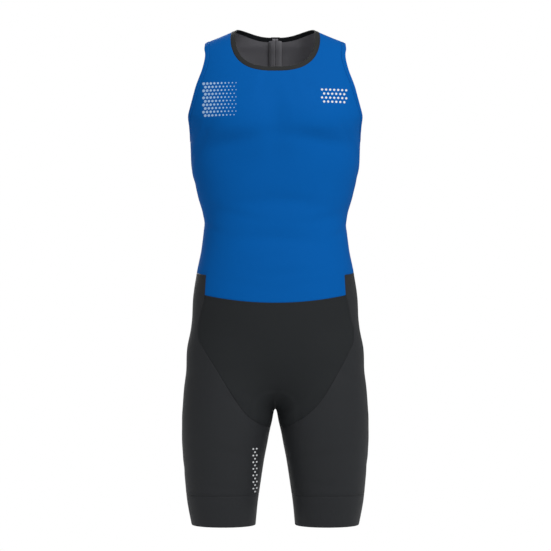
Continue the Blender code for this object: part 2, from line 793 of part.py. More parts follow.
def brief_grid(side):
    """Grid of the shorts front (-1) or seat (1): rows from the waist seam to the crotch."""
    left, right = seam_loop("left", side), seam_loop("right", side)
    middle = rise_line(side, len(left))
    waist = waist_row(side)
    middle = settle(middle)
    # Towards the crotch the columns crowd to the middle, where the cloth bends most.
    crowd = 1 + 0.4 * np.linspace(0, 1, len(left)) ** 2
    share = np.linspace(0, 1, FRONT_COLUMNS + 1)[None, :] ** crowd[:, None]
    share = share[:, :, None]
    halves = []
    for edge in (left, right):
        half = settle(middle[:, None] + (edge - middle)[:, None] * share)
        half[:, -1] = edge
        halves.append(half)
    grid = np.concatenate([halves[0][:, :0:-1], halves[1]], axis=1)
    grid[0] = np.concatenate([mirrored(waist[1:])[::-1], waist])
    return grid


def make_shorts():
    """Front and seat panels of the shorts."""
    front = Sheet()
    front.add_grid(brief_grid(-1)[::-1])
    place("brief_front", wall_mesh("brief_front", front.weld()), "black")
    seat = Sheet()
    seat.add_grid(brief_grid(1))
    place("brief_seat", wall_mesh("brief_seat", seat.weld()), "black")


def around_leg(sign, turns, heights):
    """Points round a leg at turns from its front, towards its outer side."""
    centre = follow(THIGH, "centre", heights)
    hub = np.stack([sign * centre, 0 * heights, heights], axis=-1)
    way = np.stack([sign * np.sin(turns), -np.cos(turns), 0 * turns], axis=-1)
    # A ray towards the other leg starts at the middle plane.
    reach = np.minimum(UP_REACH, centre / np.maximum(-np.sin(turns), 1e-6))
    return cast(hub + way * reach[:, None], -way, reach)


def leg_row(front, back, sign, count, outer_height):
    """Row from the front edge by the outer side to the back edge, which sags outwards."""
    hub_x = sign * float(follow(THIGH, "centre", front[2]))
    start = math.atan2(sign * (front[0] - hub_x), -front[1])
    end = math.atan2(sign * (back[0] - hub_x), -back[1])
    if end < start + 1e-6:
        end += 2 * math.pi
    share = np.linspace(0, 1, count + 1)
    sag = np.sin(math.pi * share) ** 2
    heights = front[2] + (outer_height - front[2]) * sag
    row = around_leg(sign, start + (end - start) * share, heights)
    row[0], row[-1] = front, back
    return row


def step_line(sign):
    """Seam at the top of the side strip, from the front corner round to the back corner."""
    shares = bodice_shares()[FRONT_COLUMNS:]
    rise = np.linspace(0, 1, STRIP_COLUMNS + 1)
    height = STEP_CORNER[1] + (STEP_SIDE_HEIGHT - STEP_CORNER[1]) * rise
    front = ring_point(shares * math.pi / 2, height, -1)
    back = ring_point(shares * math.pi / 2, height, 1)
    line = np.concatenate([front, back[-2::-1]])
    return line * np.array([sign, 1.0, 1.0])


def leg_grid(side_name):
    """Grid of a leg panel: rows from the side step down to the band, front round to back."""
    sign = 1.0 if side_name == "right" else -1.0
    front, back = seam_loop(side_name, -1), seam_loop(side_name, 1)
    top = resample(step_line(sign), LEG_RING + 1)
    rows = [top]
    outer = np.linspace(front[0, 2], LEG_OUTER_LOWEST, len(front))
    first = leg_row(front[0], back[0], sign, LEG_RING, outer[0])
    for t in np.linspace(0, 1, LOW_ROWS + 1)[1:-1]:
        guide = top + (first - top) * t
        edge = [front_view_point(guide[i, 0], guide[i, 2], s) for i, s in ((0, -1), (-1, 1))]
        guide = settle(guide)
        guide[0], guide[-1] = edge
        rows.append(guide)
    rows.append(first)
    for a, b, height in zip(front[1:], back[1:], outer[1:]):
        rows.append(leg_row(a, b, sign, LEG_RING, height))
    last = rows[-1][:, 2]
    for t in np.linspace(0, 1, LEG_TUBE_ROWS + 1)[1:]:
        rows.append(tube_row(sign, last + (BAND_TOP - last) * t))
    return np.array(rows)


def tube_row(sign, heights):
    """Closed row round a leg, from its inner side round by the front."""
    inner = np.array([follow(THIGH, "centre", heights[0])])
    start = -math.pi / 2 - math.atan2(CROTCH_SEAM_Y, inner[0])
    turns = np.linspace(start, start + 2 * math.pi, len(heights))
    return around_leg(sign, turns, heights)


def make_legs():
    """Leg panels, closed round the thigh, and the bands at their hems."""
    for side_name, sign in (("left", -1.0), ("right", 1.0)):
        sheet = Sheet()
        sheet.add_grid(leg_grid(side_name))
        name = f"leg_{side_name}"
        place(name, wall_mesh(name, sheet.weld()), "leg_black")
        levels = np.linspace(BAND_TOP, HEM_HEIGHT, BAND_ROWS + 1)
        rows = [tube_row(sign, np.full(LEG_RING + 1, z)) for z in levels]
        band = Sheet()
        band.add_grid(np.array(rows))
        name = f"leg_band_{side_name}"
        place(name, wall_mesh(name, band.weld(), wall=BAND_WALL), "leg_black")


def make_pad():
    """Pad inside the crotch, thick in the middle and thin at its edge."""
    front, seat = brief_grid(-1), brief_grid(1)
    rows = np.concatenate([front, seat[-2::-1]])
    spine = rows[:, FRONT_COLUMNS]
    step = np.linalg.norm(np.diff(spine, axis=0), axis=1)
    along = np.concatenate([[0], np.cumsum(step)])
    count = len(front)
    start = np.interp(-PAD_FRONT_HEIGHT, -front[:, FRONT_COLUMNS, 2], along[:count])
    end = np.interp(PAD_BACK_HEIGHT, seat[::-1, FRONT_COLUMNS, 2], along[count - 1 :])
    share = (1 - np.cos(np.linspace(0, math.pi, PAD_ROWS))) / 2
    at = start + (end - start) * share
    table = [np.array(column, float) for column in zip(*PAD)]
    half = np.interp(share, table[0], table[1]) * MM
    across = np.linspace(0, 1, PAD_HALF_COLUMNS + 1)
    grid = []
    for place_along, reach in zip(at, half):
        line = np.stack([interpolate_row(rows, along, place_along, k) for k in range(rows.shape[1])])
        sides = []
        for part_line in (line[FRONT_COLUMNS::-1], line[FRONT_COLUMNS:]):
            step = np.linalg.norm(np.diff(part_line, axis=0), axis=1)
            length = np.concatenate([[0], np.cumsum(step)])
            steps_out = across * reach
            steps_out[1:-1] = np.minimum(steps_out, length[: len(steps_out)])[1:-1]
            spots = [np.interp(steps_out, length, part_line[:, i]) for i in range(3)]
            sides.append(np.stack(spots, axis=-1))
        grid.append(np.concatenate([sides[0][:0:-1], sides[1]]))
    sheet = Sheet()
    sheet.add_grid(np.array(grid))
    off = np.abs(np.linspace(-1, 1, 2 * PAD_HALF_COLUMNS + 1))
    body = (1 - off**4)[None, :] * (np.sin(math.pi * share) ** 0.5)[:, None]
    wall = PAD_EDGE_WALL + (PAD_WALL - PAD_EDGE_WALL) * body.reshape(-1)
    mesh = wall_mesh("seat_pad", sheet, wall=wall, lift=-(CLOTH_WALL + PAD_DEPTH))
    place("seat_pad", mesh, "pad")


def interpolate_row(rows, along, at, column):
    """Point of one grid column at a distance along the middle line."""
    return np.array([np.interp(at, along, rows[:, column, i]) for i in range(3)])


def back_strip(x_edges, heights):
    """Grid of points at the centre back, between lines that keep their distance."""
    grid = [front_view_point(np.array(x_edges(z)), z, 1) for z in heights]
    return np.array(grid)


def make_zip():
    """Tapes behind the panel edges and the closed chain between them."""
    levels = np.linspace(ZIP_END_HEIGHT, -2 * MM, ZIP_ROWS)
    levels = np.concatenate([levels, [-1 * MM, ZIP_TOP_HEIGHT]])
    inner = CHAIN_HALF_WIDTH + SEAM_GAP / 2

    def tape_edges(z):
        narrow = ZIP_HALF_GAP if z > -1.5 * MM else TAPE_HALF_WIDTH
        return [inner, (inner + narrow) / 2, narrow]

    tape = back_strip(tape_edges, levels)
    depth = -(CLOTH_WALL + TAPE_DEPTH)
    for name, grid in (("zip_tape_right", tape), ("zip_tape_left", mirrored(tape))):
        sheet = Sheet()
        sheet.add_grid(grid)
        place(name, wall_mesh(name, sheet, wall=TAPE_WALL, lift=depth), "zip")
    edge = CHAIN_HALF_WIDTH
    chain = back_strip(lambda z: [-edge, 0.0, edge], levels[1:])
    sheet = Sheet()
    sheet.add_grid(chain)
    mesh = wall_mesh("zip_chain", sheet, wall=CHAIN_WALL, lift=CHAIN_RAISE, gap=0.0)
    place("zip_chain", mesh, "zip")
    levels = np.linspace(*GARAGE_RANGE, 4)
    edge = GARAGE_HALF_WIDTH
    cover = back_strip(lambda z: np.linspace(-edge, edge, 6), levels)
    sheet = Sheet()
    sheet.add_grid(cover)
    mesh = wall_mesh("zip_garage", sheet, lift=GARAGE_RAISE)
    place("zip_garage", mesh, "trim_black")


def slider_frame():
    """Place of the slider: across, up along the zip, and out of the cloth."""
    spot = front_view_point(0.0, SLIDER_HEIGHT, 1)[None]
    out = normals(spot)
    spot = spot + out * relief(spot, out)[:, None]
    out = Vector(out[0]).normalized()
    across = Vector((-1, 0, 0))
    up = out.cross(across)
    frame = Matrix((across, up, out)).transposed().to_4x4()
    frame.translation = Vector(spot[0])
    return frame


def box(size, centre):
    """Mesh of a box."""
    shape = bmesh.new()
    place_at = Matrix.Translation(centre) @ Matrix.Diagonal((*size, 1))
    bmesh.ops.create_cube(shape, size=1.0, matrix=place_at)
    return shape


def rod(radius, length, centre, segments=24):
    """Mesh of a round rod that lies across."""
    shape = bmesh.new()
    turn = Matrix.Rotation(math.pi / 2, 4, "Y")
    bmesh.ops.create_cone(
        shape, cap_ends=True, segments=segments, radius1=radius, radius2=radius,
        depth=length, matrix=Matrix.Translation(centre) @ turn,
    )
    return shape


def combine(name, steps):
    """Join or cut simple shapes in order: each step is an operation and a shape."""
    temporary = []
    for i, (_, shape) in enumerate(steps):
        mesh = bpy.data.meshes.new(f"{name} step {i}")
        shape.to_mesh(mesh)
        shape.free()
        obj = bpy.data.objects.new(mesh.name, mesh)
        bpy.context.scene.collection.objects.link(obj)
        temporary.append(obj)
    base = temporary[0]
    for (operation, _), other in zip(steps[1:], temporary[1:]):
        modifier = base.modifiers.new(operation, "BOOLEAN")
        modifier.operation = operation
        modifier.solver = "EXACT"
        modifier.object = other
    bpy.context.view_layer.update()
    depsgraph = bpy.context.evaluated_depsgraph_get()
    mesh = bpy.data.meshes.new_from_object(base.evaluated_get(depsgraph))
    for obj in temporary:
        bpy.data.objects.remove(obj, do_unlink=True)
    return mesh


def make_slider():
    """Slider with a pin between two lugs, and the pull tab that swings on the pin."""
    frame = slider_frame()
    width, length, thick = SLIDER_SIZE
    lug_x = TAB_SIZE[0] / 2 + MOVING_GAP + LUG_SIZE[0] / 2
    lug_top = PIN_RAISE + PIN_RADIUS + 0.6 * MM
    lug_base = SLIDER_RAISE + thick / 2
    lug_size = (LUG_SIZE[0], LUG_SIZE[1], lug_top - lug_base)
    lug_z = (lug_top + lug_base) / 2
    steps = [("UNION", box((width, length, thick), (0, 0, SLIDER_RAISE + thick / 2)))]
    for sign in (-1, 1):
        steps.append(("UNION", box(lug_size, (sign * lug_x, PIN_ALONG, lug_z))))
    pin_length = 2 * lug_x + LUG_SIZE[0] / 2
    steps.append(("UNION", rod(PIN_RADIUS, pin_length, (0, PIN_ALONG, PIN_RAISE))))
    mesh = combine("zip_slider", steps)
    mesh.transform(frame)
    place("zip_slider", mesh, "metal", smooth=False)
    wide, long, thin = TAB_SIZE
    steps = [
        ("UNION", rod(TAB_EYE_RADIUS, wide, (0, 0, 0))),
        ("UNION", box((wide, long, thin), (0, -long / 2, 0))),
        ("DIFFERENCE", rod(PIN_RADIUS + MOVING_GAP, 2 * wide, (0, 0, 0))),
    ]
    mesh = combine("pull_tab", steps)
    pin = frame @ Matrix.Translation((0, PIN_ALONG, PIN_RAISE))
    hinge = pin.translation.copy()
    mesh.transform(Matrix.Translation(-hinge) @ pin)
    tab = place("pull_tab", mesh, "metal", smooth=False)
    tab.location = hinge
    return hinge


def main():
    """Build every piece of the suit."""
    for obj in list(bpy.data.objects):
        bpy.data.objects.remove(obj, do_unlink=True)
    collection = bpy.data.collections.new(COLLECTION_NAME)
    bpy.context.scene.collection.children.link(collection)
    seams = Seams()
    make_bodice(seams)
    make_bindings(seams)
    make_shorts()
    make_legs()
    make_pad()
    make_zip()
    hinge = make_slider()
    print("pull tab hinge", [round(v, 6) for v in hinge])


main()
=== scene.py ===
# %% [markdown]
# # A sleeveless triathlon suit
# This lesson dresses the hard model of a one-piece suit as cloth. The suit is shown in its worn
# form with nobody in it, so every panel is a thin curved wall. The hard model gives the sizes
# and the place of each piece, and each soft piece made here stands for one of its nodes.
# We load it first.

# %% Load the hard model
import json
import math

import bmesh
import bpy
import numpy as np
from mathutils import Matrix, Vector, kdtree

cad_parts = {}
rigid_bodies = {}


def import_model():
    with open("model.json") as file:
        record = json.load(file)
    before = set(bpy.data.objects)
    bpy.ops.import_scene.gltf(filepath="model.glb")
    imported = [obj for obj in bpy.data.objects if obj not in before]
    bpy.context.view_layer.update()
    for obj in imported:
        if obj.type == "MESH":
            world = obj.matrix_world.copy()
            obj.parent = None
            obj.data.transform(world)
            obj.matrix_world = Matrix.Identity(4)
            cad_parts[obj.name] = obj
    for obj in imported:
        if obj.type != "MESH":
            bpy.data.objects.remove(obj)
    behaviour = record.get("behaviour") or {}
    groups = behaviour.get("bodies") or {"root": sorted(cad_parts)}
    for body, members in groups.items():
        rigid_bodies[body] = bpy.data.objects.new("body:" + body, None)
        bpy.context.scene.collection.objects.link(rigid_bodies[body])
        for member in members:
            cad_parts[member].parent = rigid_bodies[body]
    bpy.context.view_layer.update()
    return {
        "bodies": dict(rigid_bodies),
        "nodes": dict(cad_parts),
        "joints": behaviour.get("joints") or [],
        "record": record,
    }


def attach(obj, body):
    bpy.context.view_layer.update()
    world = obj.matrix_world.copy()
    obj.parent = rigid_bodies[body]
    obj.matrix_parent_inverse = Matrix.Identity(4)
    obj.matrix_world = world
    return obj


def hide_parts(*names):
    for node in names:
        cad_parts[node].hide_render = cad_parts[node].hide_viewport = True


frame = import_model()
MM = 0.001

# %% [markdown]
# ## Studio
# A garment on white needs soft light from all round, so that it stays readable, and one larger
# lamp high on one side, so that folds get a bright and a dark flank. The floor is plain and
# pale, a little below the hems, and the world is as pale as the floor. The camera is level
# with the middle of the suit and far off, as a long lens is used for clothes.

# %% Camera
CAMERA_DISTANCE = 4.3
CAMERA_HEIGHT = -0.429
CAMERA_ACROSS = 0.0004
LENS = 156.0

camera_data = bpy.data.cameras.new("camera")
camera_data.lens = LENS
camera_data.sensor_width = 36.0
camera = bpy.data.objects.new("camera", camera_data)
camera.location = (CAMERA_ACROSS, -CAMERA_DISTANCE, CAMERA_HEIGHT)
camera.rotation_euler = (math.pi / 2, 0.0, 0.0)
bpy.context.scene.collection.objects.link(camera)
bpy.context.scene.camera = camera
bpy.context.scene.view_settings.view_transform = "Standard"
bpy.context.scene.view_settings.look = "None"
print("camera", [round(v, 3) for v in camera.location], "lens", LENS)

# %% Floor, world and lamps
FLOOR_HEIGHT = -0.96
SEEN_WHITE = 1.0
WORLD_STRENGTH = 0.32
FLOOR_RADIUS = 14.0
FLOOR_GREY = (0.80, 0.80, 0.80, 1.0)
WHITE = (1.0, 1.0, 1.0, 1.0)
AIM_HEIGHT = -0.4
# Each lamp has its spot, its size across and its power.
LAMPS = {
    "key": ((1.4, -2.7, 2.5), 1.4, 99.0),
    "back": ((-0.9, 3.3, 1.2), 2.2, 85.0),
}


def only_seen(tree, lit, seen):
    """One shader for the light that falls on the suit, another for what the camera sees."""
    path = tree.nodes.new("ShaderNodeLightPath")
    mix = tree.nodes.new("ShaderNodeMixShader")
    tree.links.new(path.outputs["Is Camera Ray"], mix.inputs["Fac"])
    tree.links.new(lit, mix.inputs[1])
    tree.links.new(seen, mix.inputs[2])
    return mix.outputs[0]


def new_material(name, **values):
    """A material, its node tree and its main shader with some sockets set by name."""
    material = bpy.data.materials.new(name)
    material.use_nodes = True
    shader = material.node_tree.nodes["Principled BSDF"]
    for label, value in values.items():
        shader.inputs[label.replace("_", " ")].default_value = value
    return material, material.node_tree, shader


def studio_floor():
    """A wide disc of matt white board, lit until it is as white as the air above it."""
    shape = bmesh.new()
    bmesh.ops.create_circle(shape, cap_ends=True, radius=FLOOR_RADIUS, segments=96)
    mesh = bpy.data.meshes.new("floor")
    shape.to_mesh(mesh)
    shape.free()
    mesh.transform(Matrix.Translation((0.0, 0.0, FLOOR_HEIGHT)))
    board, tree, shader = new_material(
        "floor board", Base_Color=FLOOR_GREY, Roughness=0.9, Specular_IOR_Level=0.1
    )
    glow = tree.nodes.new("ShaderNodeEmission")
    glow.inputs["Strength"].default_value = SEEN_WHITE
    surface = tree.nodes["Material Output"].inputs["Surface"]
    tree.links.new(only_seen(tree, shader.outputs[0], glow.outputs[0]), surface)
    mesh.materials.append(board)
    floor = bpy.data.objects.new("floor", mesh)
    bpy.context.scene.collection.objects.link(floor)
    return floor


def studio_lamp(name, spot, size, power):
    """A square soft lamp that looks at the middle of the suit."""
    data = bpy.data.lights.new(name, "AREA")
    data.energy = power
    data.size = size
    lamp = bpy.data.objects.new(name, data)
    lamp.location = spot
    way = Vector((0.0, 0.0, AIM_HEIGHT)) - Vector(spot)
    lamp.rotation_euler = way.to_track_quat("-Z", "Y").to_euler()
    bpy.context.scene.collection.objects.link(lamp)


def studio_world():
    """Air that is white to the camera and gives the suit an even, weaker light."""
    world = bpy.data.worlds.new("studio")
    world.use_nodes = True
    tree = world.node_tree
    lit, seen = tree.nodes["Background"], tree.nodes.new("ShaderNodeBackground")
    for node, strength in ((lit, WORLD_STRENGTH), (seen, SEEN_WHITE)):
        node.inputs["Color"].default_value = WHITE
        node.inputs["Strength"].default_value = strength
    surface = tree.nodes["World Output"].inputs["Surface"]
    tree.links.new(only_seen(tree, lit.outputs[0], seen.outputs[0]), surface)
    bpy.context.scene.world = world


studio_floor()
studio_world()
for lamp_name, (spot, size, power) in LAMPS.items():
    studio_lamp(lamp_name, spot, size, power)
print("floor at", FLOOR_HEIGHT, "lamps", list(LAMPS))


# %% [markdown]
# ## The form under the cloth
# A worn suit takes the shape of a general figure. We don't model the figure. We say how far
# the cloth is from the middle line at some heights, in front, behind and at the sides, and
# draw smooth curves through those sizes. The result is a distance: negative inside the form
# and positive outside it. Any point can then be moved onto the form by walking along the
# slope of the distance, so seams and panels can be drawn freely and still fit each other.

# %% Tables of level sections, in millimetres
TORSO_COLUMNS = ("height", "half_width", "front", "back", "squareness")
TORSO = (
    (26, 38, 22, 24, 2.0),
    (15, 64, 31, 34, 2.0),
    (0, 99, 41, 42, 2.0),
    (-11, 125, 49, 48, 2.05),
    (-27, 146, 62, 60, 2.1),
    (-60, 157, 84, 80, 2.2),
    (-100, 164, 102, 94, 2.3),
    (-140, 165, 111, 102, 2.35),
    (-165, 157, 113, 104, 2.4),
    (-180, 153.4, 112, 104, 2.4),
    (-230, 151, 105, 99, 2.4),
    (-285, 139.5, 98, 92, 2.35),
    (-333, 128, 95, 89, 2.3),
    (-380, 132.5, 96, 94, 2.3),
    (-423, 141, 98, 102, 2.3),
    (-477, 148.5, 99, 111, 2.3),
    (-527, 150, 96, 117, 2.3),
    (-570, 152, 90, 117, 2.3),
    (-610, 150, 82, 112, 2.3),
    (-680, 146, 76, 100, 2.3),
)
UNDERSIDE_START = -548 * MM
UNDERSIDE_END = -655 * MM
UNDERSIDE_SQUARENESS = 3.0
LEG_COLUMNS = ("height", "centre", "half_width", "front", "back", "squareness")
LEG = (
    (-470, 60, 50, 50, 60, 2.0),
    (-520, 68, 68, 66, 82, 2.1),
    (-560, 76, 77, 78, 98, 2.15),
    (-600, 80, 80, 84, 102, 2.15),
    (-640, 83.5, 81.5, 86, 99, 2.15),
    (-675, 86, 81.5, 86, 93, 2.15),
    (-700, 88.4, 79.6, 85, 90, 2.15),
    (-725, 90.6, 77.4, 83, 87, 2.1),
    (-760, 92.8, 72.8, 79, 83, 2.1),
    (-797, 94.1, 68.4, 74, 79, 2.1),
    (-833, 94.9, 63.9, 68, 73, 2.1),
    (-869, 93.4, 58.8, 62, 67, 2.1),
    (-900, 91, 54, 58, 62, 2.1),
)
LEG_JOIN = 7 * MM
BODY_JOIN = 26 * MM
LEG_SEAM_COLUMNS = ("height", "left", "right")
LEG_SEAM = (
    (-464, 125.5, 125.5),
    (-477, 128, 129),
    (-504, 135, 134.6),
    (-527, 138.6, 140.6),
    (-541, 137, 140.5),
    (-565, 124, 131.5),
    (-590, 108, 118),
    (-618, 90.5, 101.5),
    (-646, 73, 84),
    (-664, 60, 68.5),
    (-678, 48, 53),
    (-689, 34, 36.5),
    (-697, 22, 22.5),
)


def read_table(names, rows):
    """Columns of a table by name, in rising order of height."""
    order = sorted(rows, key=lambda row: row[names.index("height")])
    table = {}
    for i, name in enumerate(names):
        unit = 1.0 if name == "squareness" else MM
        table[name] = np.array([row[i] for row in order], float) * unit
    for name in names[1:]:
        table[name + " slope"] = slopes(table["height"], table[name])
    return table


def slopes(x, y):
    """Slopes of a smooth curve through points that never swings past them."""
    step = np.diff(x)
    rise = np.diff(y) / step
    inner = np.zeros(len(x) - 2)
    same = rise[:-1] * rise[1:] > 0
    inner[same] = 2 * rise[:-1][same] * rise[1:][same] / (rise[:-1][same] + rise[1:][same])
    return np.concatenate([[rise[0]], inner, [rise[-1]]])


def follow(table, name, height):
    """Value of a table's column at any height, in metres."""
    x, y, bend = table["height"], table[name], table[name + " slope"]
    at = np.clip(height, x[0], x[-1])
    i = np.clip(np.searchsorted(x, at) - 1, 0, len(x) - 2)
    width = x[i + 1] - x[i]
    t = (at - x[i]) / width
    start = (1 + 2 * t) * (1 - t) ** 2 * y[i] + t * (1 - t) ** 2 * width * bend[i]
    end = t * t * (3 - 2 * t) * y[i + 1] + t * t * (t - 1) * width * bend[i + 1]
    return start + end


BODY = read_table(TORSO_COLUMNS, TORSO)
THIGH = read_table(LEG_COLUMNS, LEG)
SIDE_SEAM = read_table(LEG_SEAM_COLUMNS, LEG_SEAM)
print("body sections", len(TORSO), "leg sections", len(LEG))

# %% Distance from the form
def soft_min(a, b, blend):
    """The smaller of two distances, with their meeting rounded."""
    near = np.clip(blend - np.abs(a - b), 0, None) / blend
    return np.minimum(a, b) - near * near * blend / 4


def body_distance(p):
    """Rough distance of points from the body's form, negative inside."""
    x, y, z = p[:, 0], p[:, 1], p[:, 2]
    depth = np.where(y < 0, follow(BODY, "front", z), follow(BODY, "back", z))
    power = follow(BODY, "squareness", z)
    below = np.clip(UNDERSIDE_START - z, 0, None)
    low = below / (UNDERSIDE_START - UNDERSIDE_END)
    across = (np.abs(x) / follow(BODY, "half_width", z)) ** power
    full = UNDERSIDE_SQUARENESS
    along = ((np.abs(y) / depth) ** full + low**full) ** (power / full)
    ratio = np.maximum(across + along, 1e-9) ** (1 / power)
    round_about = np.sqrt(x * x + y * y + below * below) * (1 - 1 / ratio)
    return np.maximum(round_about, z - BODY["height"][-1])


def leg_distance(p, side):
    """Rough distance of points from one leg's form."""
    z = p[:, 2]
    x = side * p[:, 0] - follow(THIGH, "centre", z)
    y = p[:, 1]
    depth = np.where(y < 0, follow(THIGH, "front", z), follow(THIGH, "back", z))
    power = follow(THIGH, "squareness", z)
    across = (np.abs(x) / follow(THIGH, "half_width", z)) ** power
    ratio = np.maximum(across + (np.abs(y) / depth) ** power, 1e-9) ** (1 / power)
    return np.maximum(np.hypot(x, y) * (1 - 1 / ratio), z - THIGH["height"][-1])


def form_distance(p):
    """Rough distance of points from the whole form."""
    legs = soft_min(leg_distance(p, -1), leg_distance(p, 1), LEG_JOIN)
    return soft_min(body_distance(p), legs, BODY_JOIN)


# %% Points onto the form
def form_slope(p):
    """How the distance changes along each axis."""
    reach = 0.05 * MM
    result = np.zeros_like(p)
    for axis in range(3):
        shift = np.zeros(3)
        shift[axis] = reach
        result[:, axis] = (form_distance(p + shift) - form_distance(p - shift)) / (2 * reach)
    return result


def settle(points, rounds=14):
    """Move points onto the form along its own slope."""
    p = np.array(points, float).reshape(-1, 3)
    for _ in range(rounds):
        slope = form_slope(p)
        square = np.maximum((slope * slope).sum(1), 1e-6)
        move = np.clip(form_distance(p) / square, -12 * MM, 12 * MM)
        p = p - move[:, None] * slope
    return p.reshape(np.shape(points))


def normals(points):
    """Outward directions of the form at points."""
    slope = form_slope(np.array(points, float).reshape(-1, 3))
    slope /= np.linalg.norm(slope, axis=1)[:, None]
    return slope.reshape(np.shape(points))


NAVEL_SIDE = np.array([[0.0, -0.2, -0.4]])
print("distance at the navel side", form_distance(NAVEL_SIDE).round(4).tolist())

# %% Points of the form by angle, by place in the front view, and along a line
def ring_point(angle, height, side):
    """Point of the body's form at an angle from the middle, front (-1) or back (1)."""
    angle = np.asarray(angle, float)
    height = np.broadcast_to(np.asarray(height, float), angle.shape)
    depth = follow(BODY, "front" if side < 0 else "back", height)
    power = follow(BODY, "squareness", height)
    s, c = np.sin(angle), np.cos(angle)
    reach = (np.abs(s) ** power + np.abs(c) ** power) ** (1 / power)
    wide = follow(BODY, "half_width", height)
    return np.stack([wide * s / reach, side * depth * c / reach, height], axis=-1)


def ring_angle(p, side):
    """Angle from the middle of points that lie on the body's form."""
    depth = follow(BODY, "front" if side < 0 else "back", p[..., 2])
    wide = follow(BODY, "half_width", p[..., 2])
    return np.arctan2(p[..., 0] / wide, np.maximum(side * p[..., 1], 0) / depth)


def front_view_point(x, z, side):
    """Point of the body's form at a place in the front view."""
    x, z = np.broadcast_arrays(np.asarray(x, float), np.asarray(z, float))
    depth = follow(BODY, "front" if side < 0 else "back", z)
    power = follow(BODY, "squareness", z)
    share = np.clip(np.abs(x) / follow(BODY, "half_width", z), 0, 1) ** power
    return np.stack([x, side * depth * (1 - share) ** (1 / power), z], axis=-1)


def cast(start, direction, reach):
    """First points of the form met on lines that come in from outside."""
    start = np.array(start, float)
    direction = np.array(direction, float)
    near = np.zeros(len(start))
    far = np.full(len(start), 1.0) * reach
    for _ in range(40):
        middle = (near + far) / 2
        outside = form_distance(start + direction * middle[:, None]) > 0
        near = np.where(outside, middle, near)
        far = np.where(outside, far, middle)
    return start + direction * far[:, None]


print("middle of the chest at", front_view_point(0.0, -0.15, -1).round(4).tolist())

# %% [markdown]
# ## Creases
# Thin stretch cloth hardly folds while it is worn. It shows soft troughs where it bridges a
# hollow: under the chest, at the waist, under the arms and where the legs begin. Each one is
# given with its own angle round the body, height, slope, length, width and depth,
# and none is a copy of another. A trough is a smooth dent, deepest in the middle.

# %% Main troughs, the same as in the hard model
FOLD_COLUMNS = ("side", "across", "height", "slope", "half_length", "half_width", "depth")
FOLDS = (
    (-1, -72, -146, 14, 56, 34, -4.6),
    (-1, 73, -147, -12, 58, 34, -4.2),
    (-1, -76, -194, 10, 58, 16, 4.6),
    (-1, 79, -190, -9, 62, 16, 4.2),
    (-1, 0, -158, 90, 66, 20, 3.2),
    (-1, -26, -301, 4, 62, 15, 2.2),
    (-1, 36, -299, -8, 52, 14, 2.0),
    (-1, -24, -364, 3, 66, 14, 1.9),
    (-1, 38, -369, -4, 54, 14, 1.6),
    (1, 0, -250, 90, 130, 16, 3.0),
    (1, -62, -318, 10, 60, 14, 1.6),
    (1, 60, -322, -9, 64, 14, 1.6),
    (1, -50, -368, -6, 66, 15, 1.6),
    (1, 56, -372, 7, 60, 15, 1.4),
    (1, 0, -600, 90, 55, 20, 3.5),
)


def relief(p, normal):
    """Depth of the soft troughs at points, as a move along the outward direction."""
    total = np.zeros(len(p))
    for row in FOLDS:
        fold = dict(zip(FOLD_COLUMNS, row))
        turn = math.radians(fold["slope"])
        x = p[:, 0] - fold["across"] * MM
        z = p[:, 2] - fold["height"] * MM
        along = (x * math.cos(turn) + z * math.sin(turn)) / (fold["half_length"] * MM)
        aside = (z * math.cos(turn) - x * math.sin(turn)) / (fold["half_width"] * MM)
        facing = np.clip(1.6 * normal[:, 1] * fold["side"], 0, 1)
        total -= fold["depth"] * MM * facing * np.exp(-(along**2) - aside**2)
    return total


print("main troughs", len(FOLDS))

# %% Finer creases round the body and the legs
LEG_OVERLAP = -2 * MM
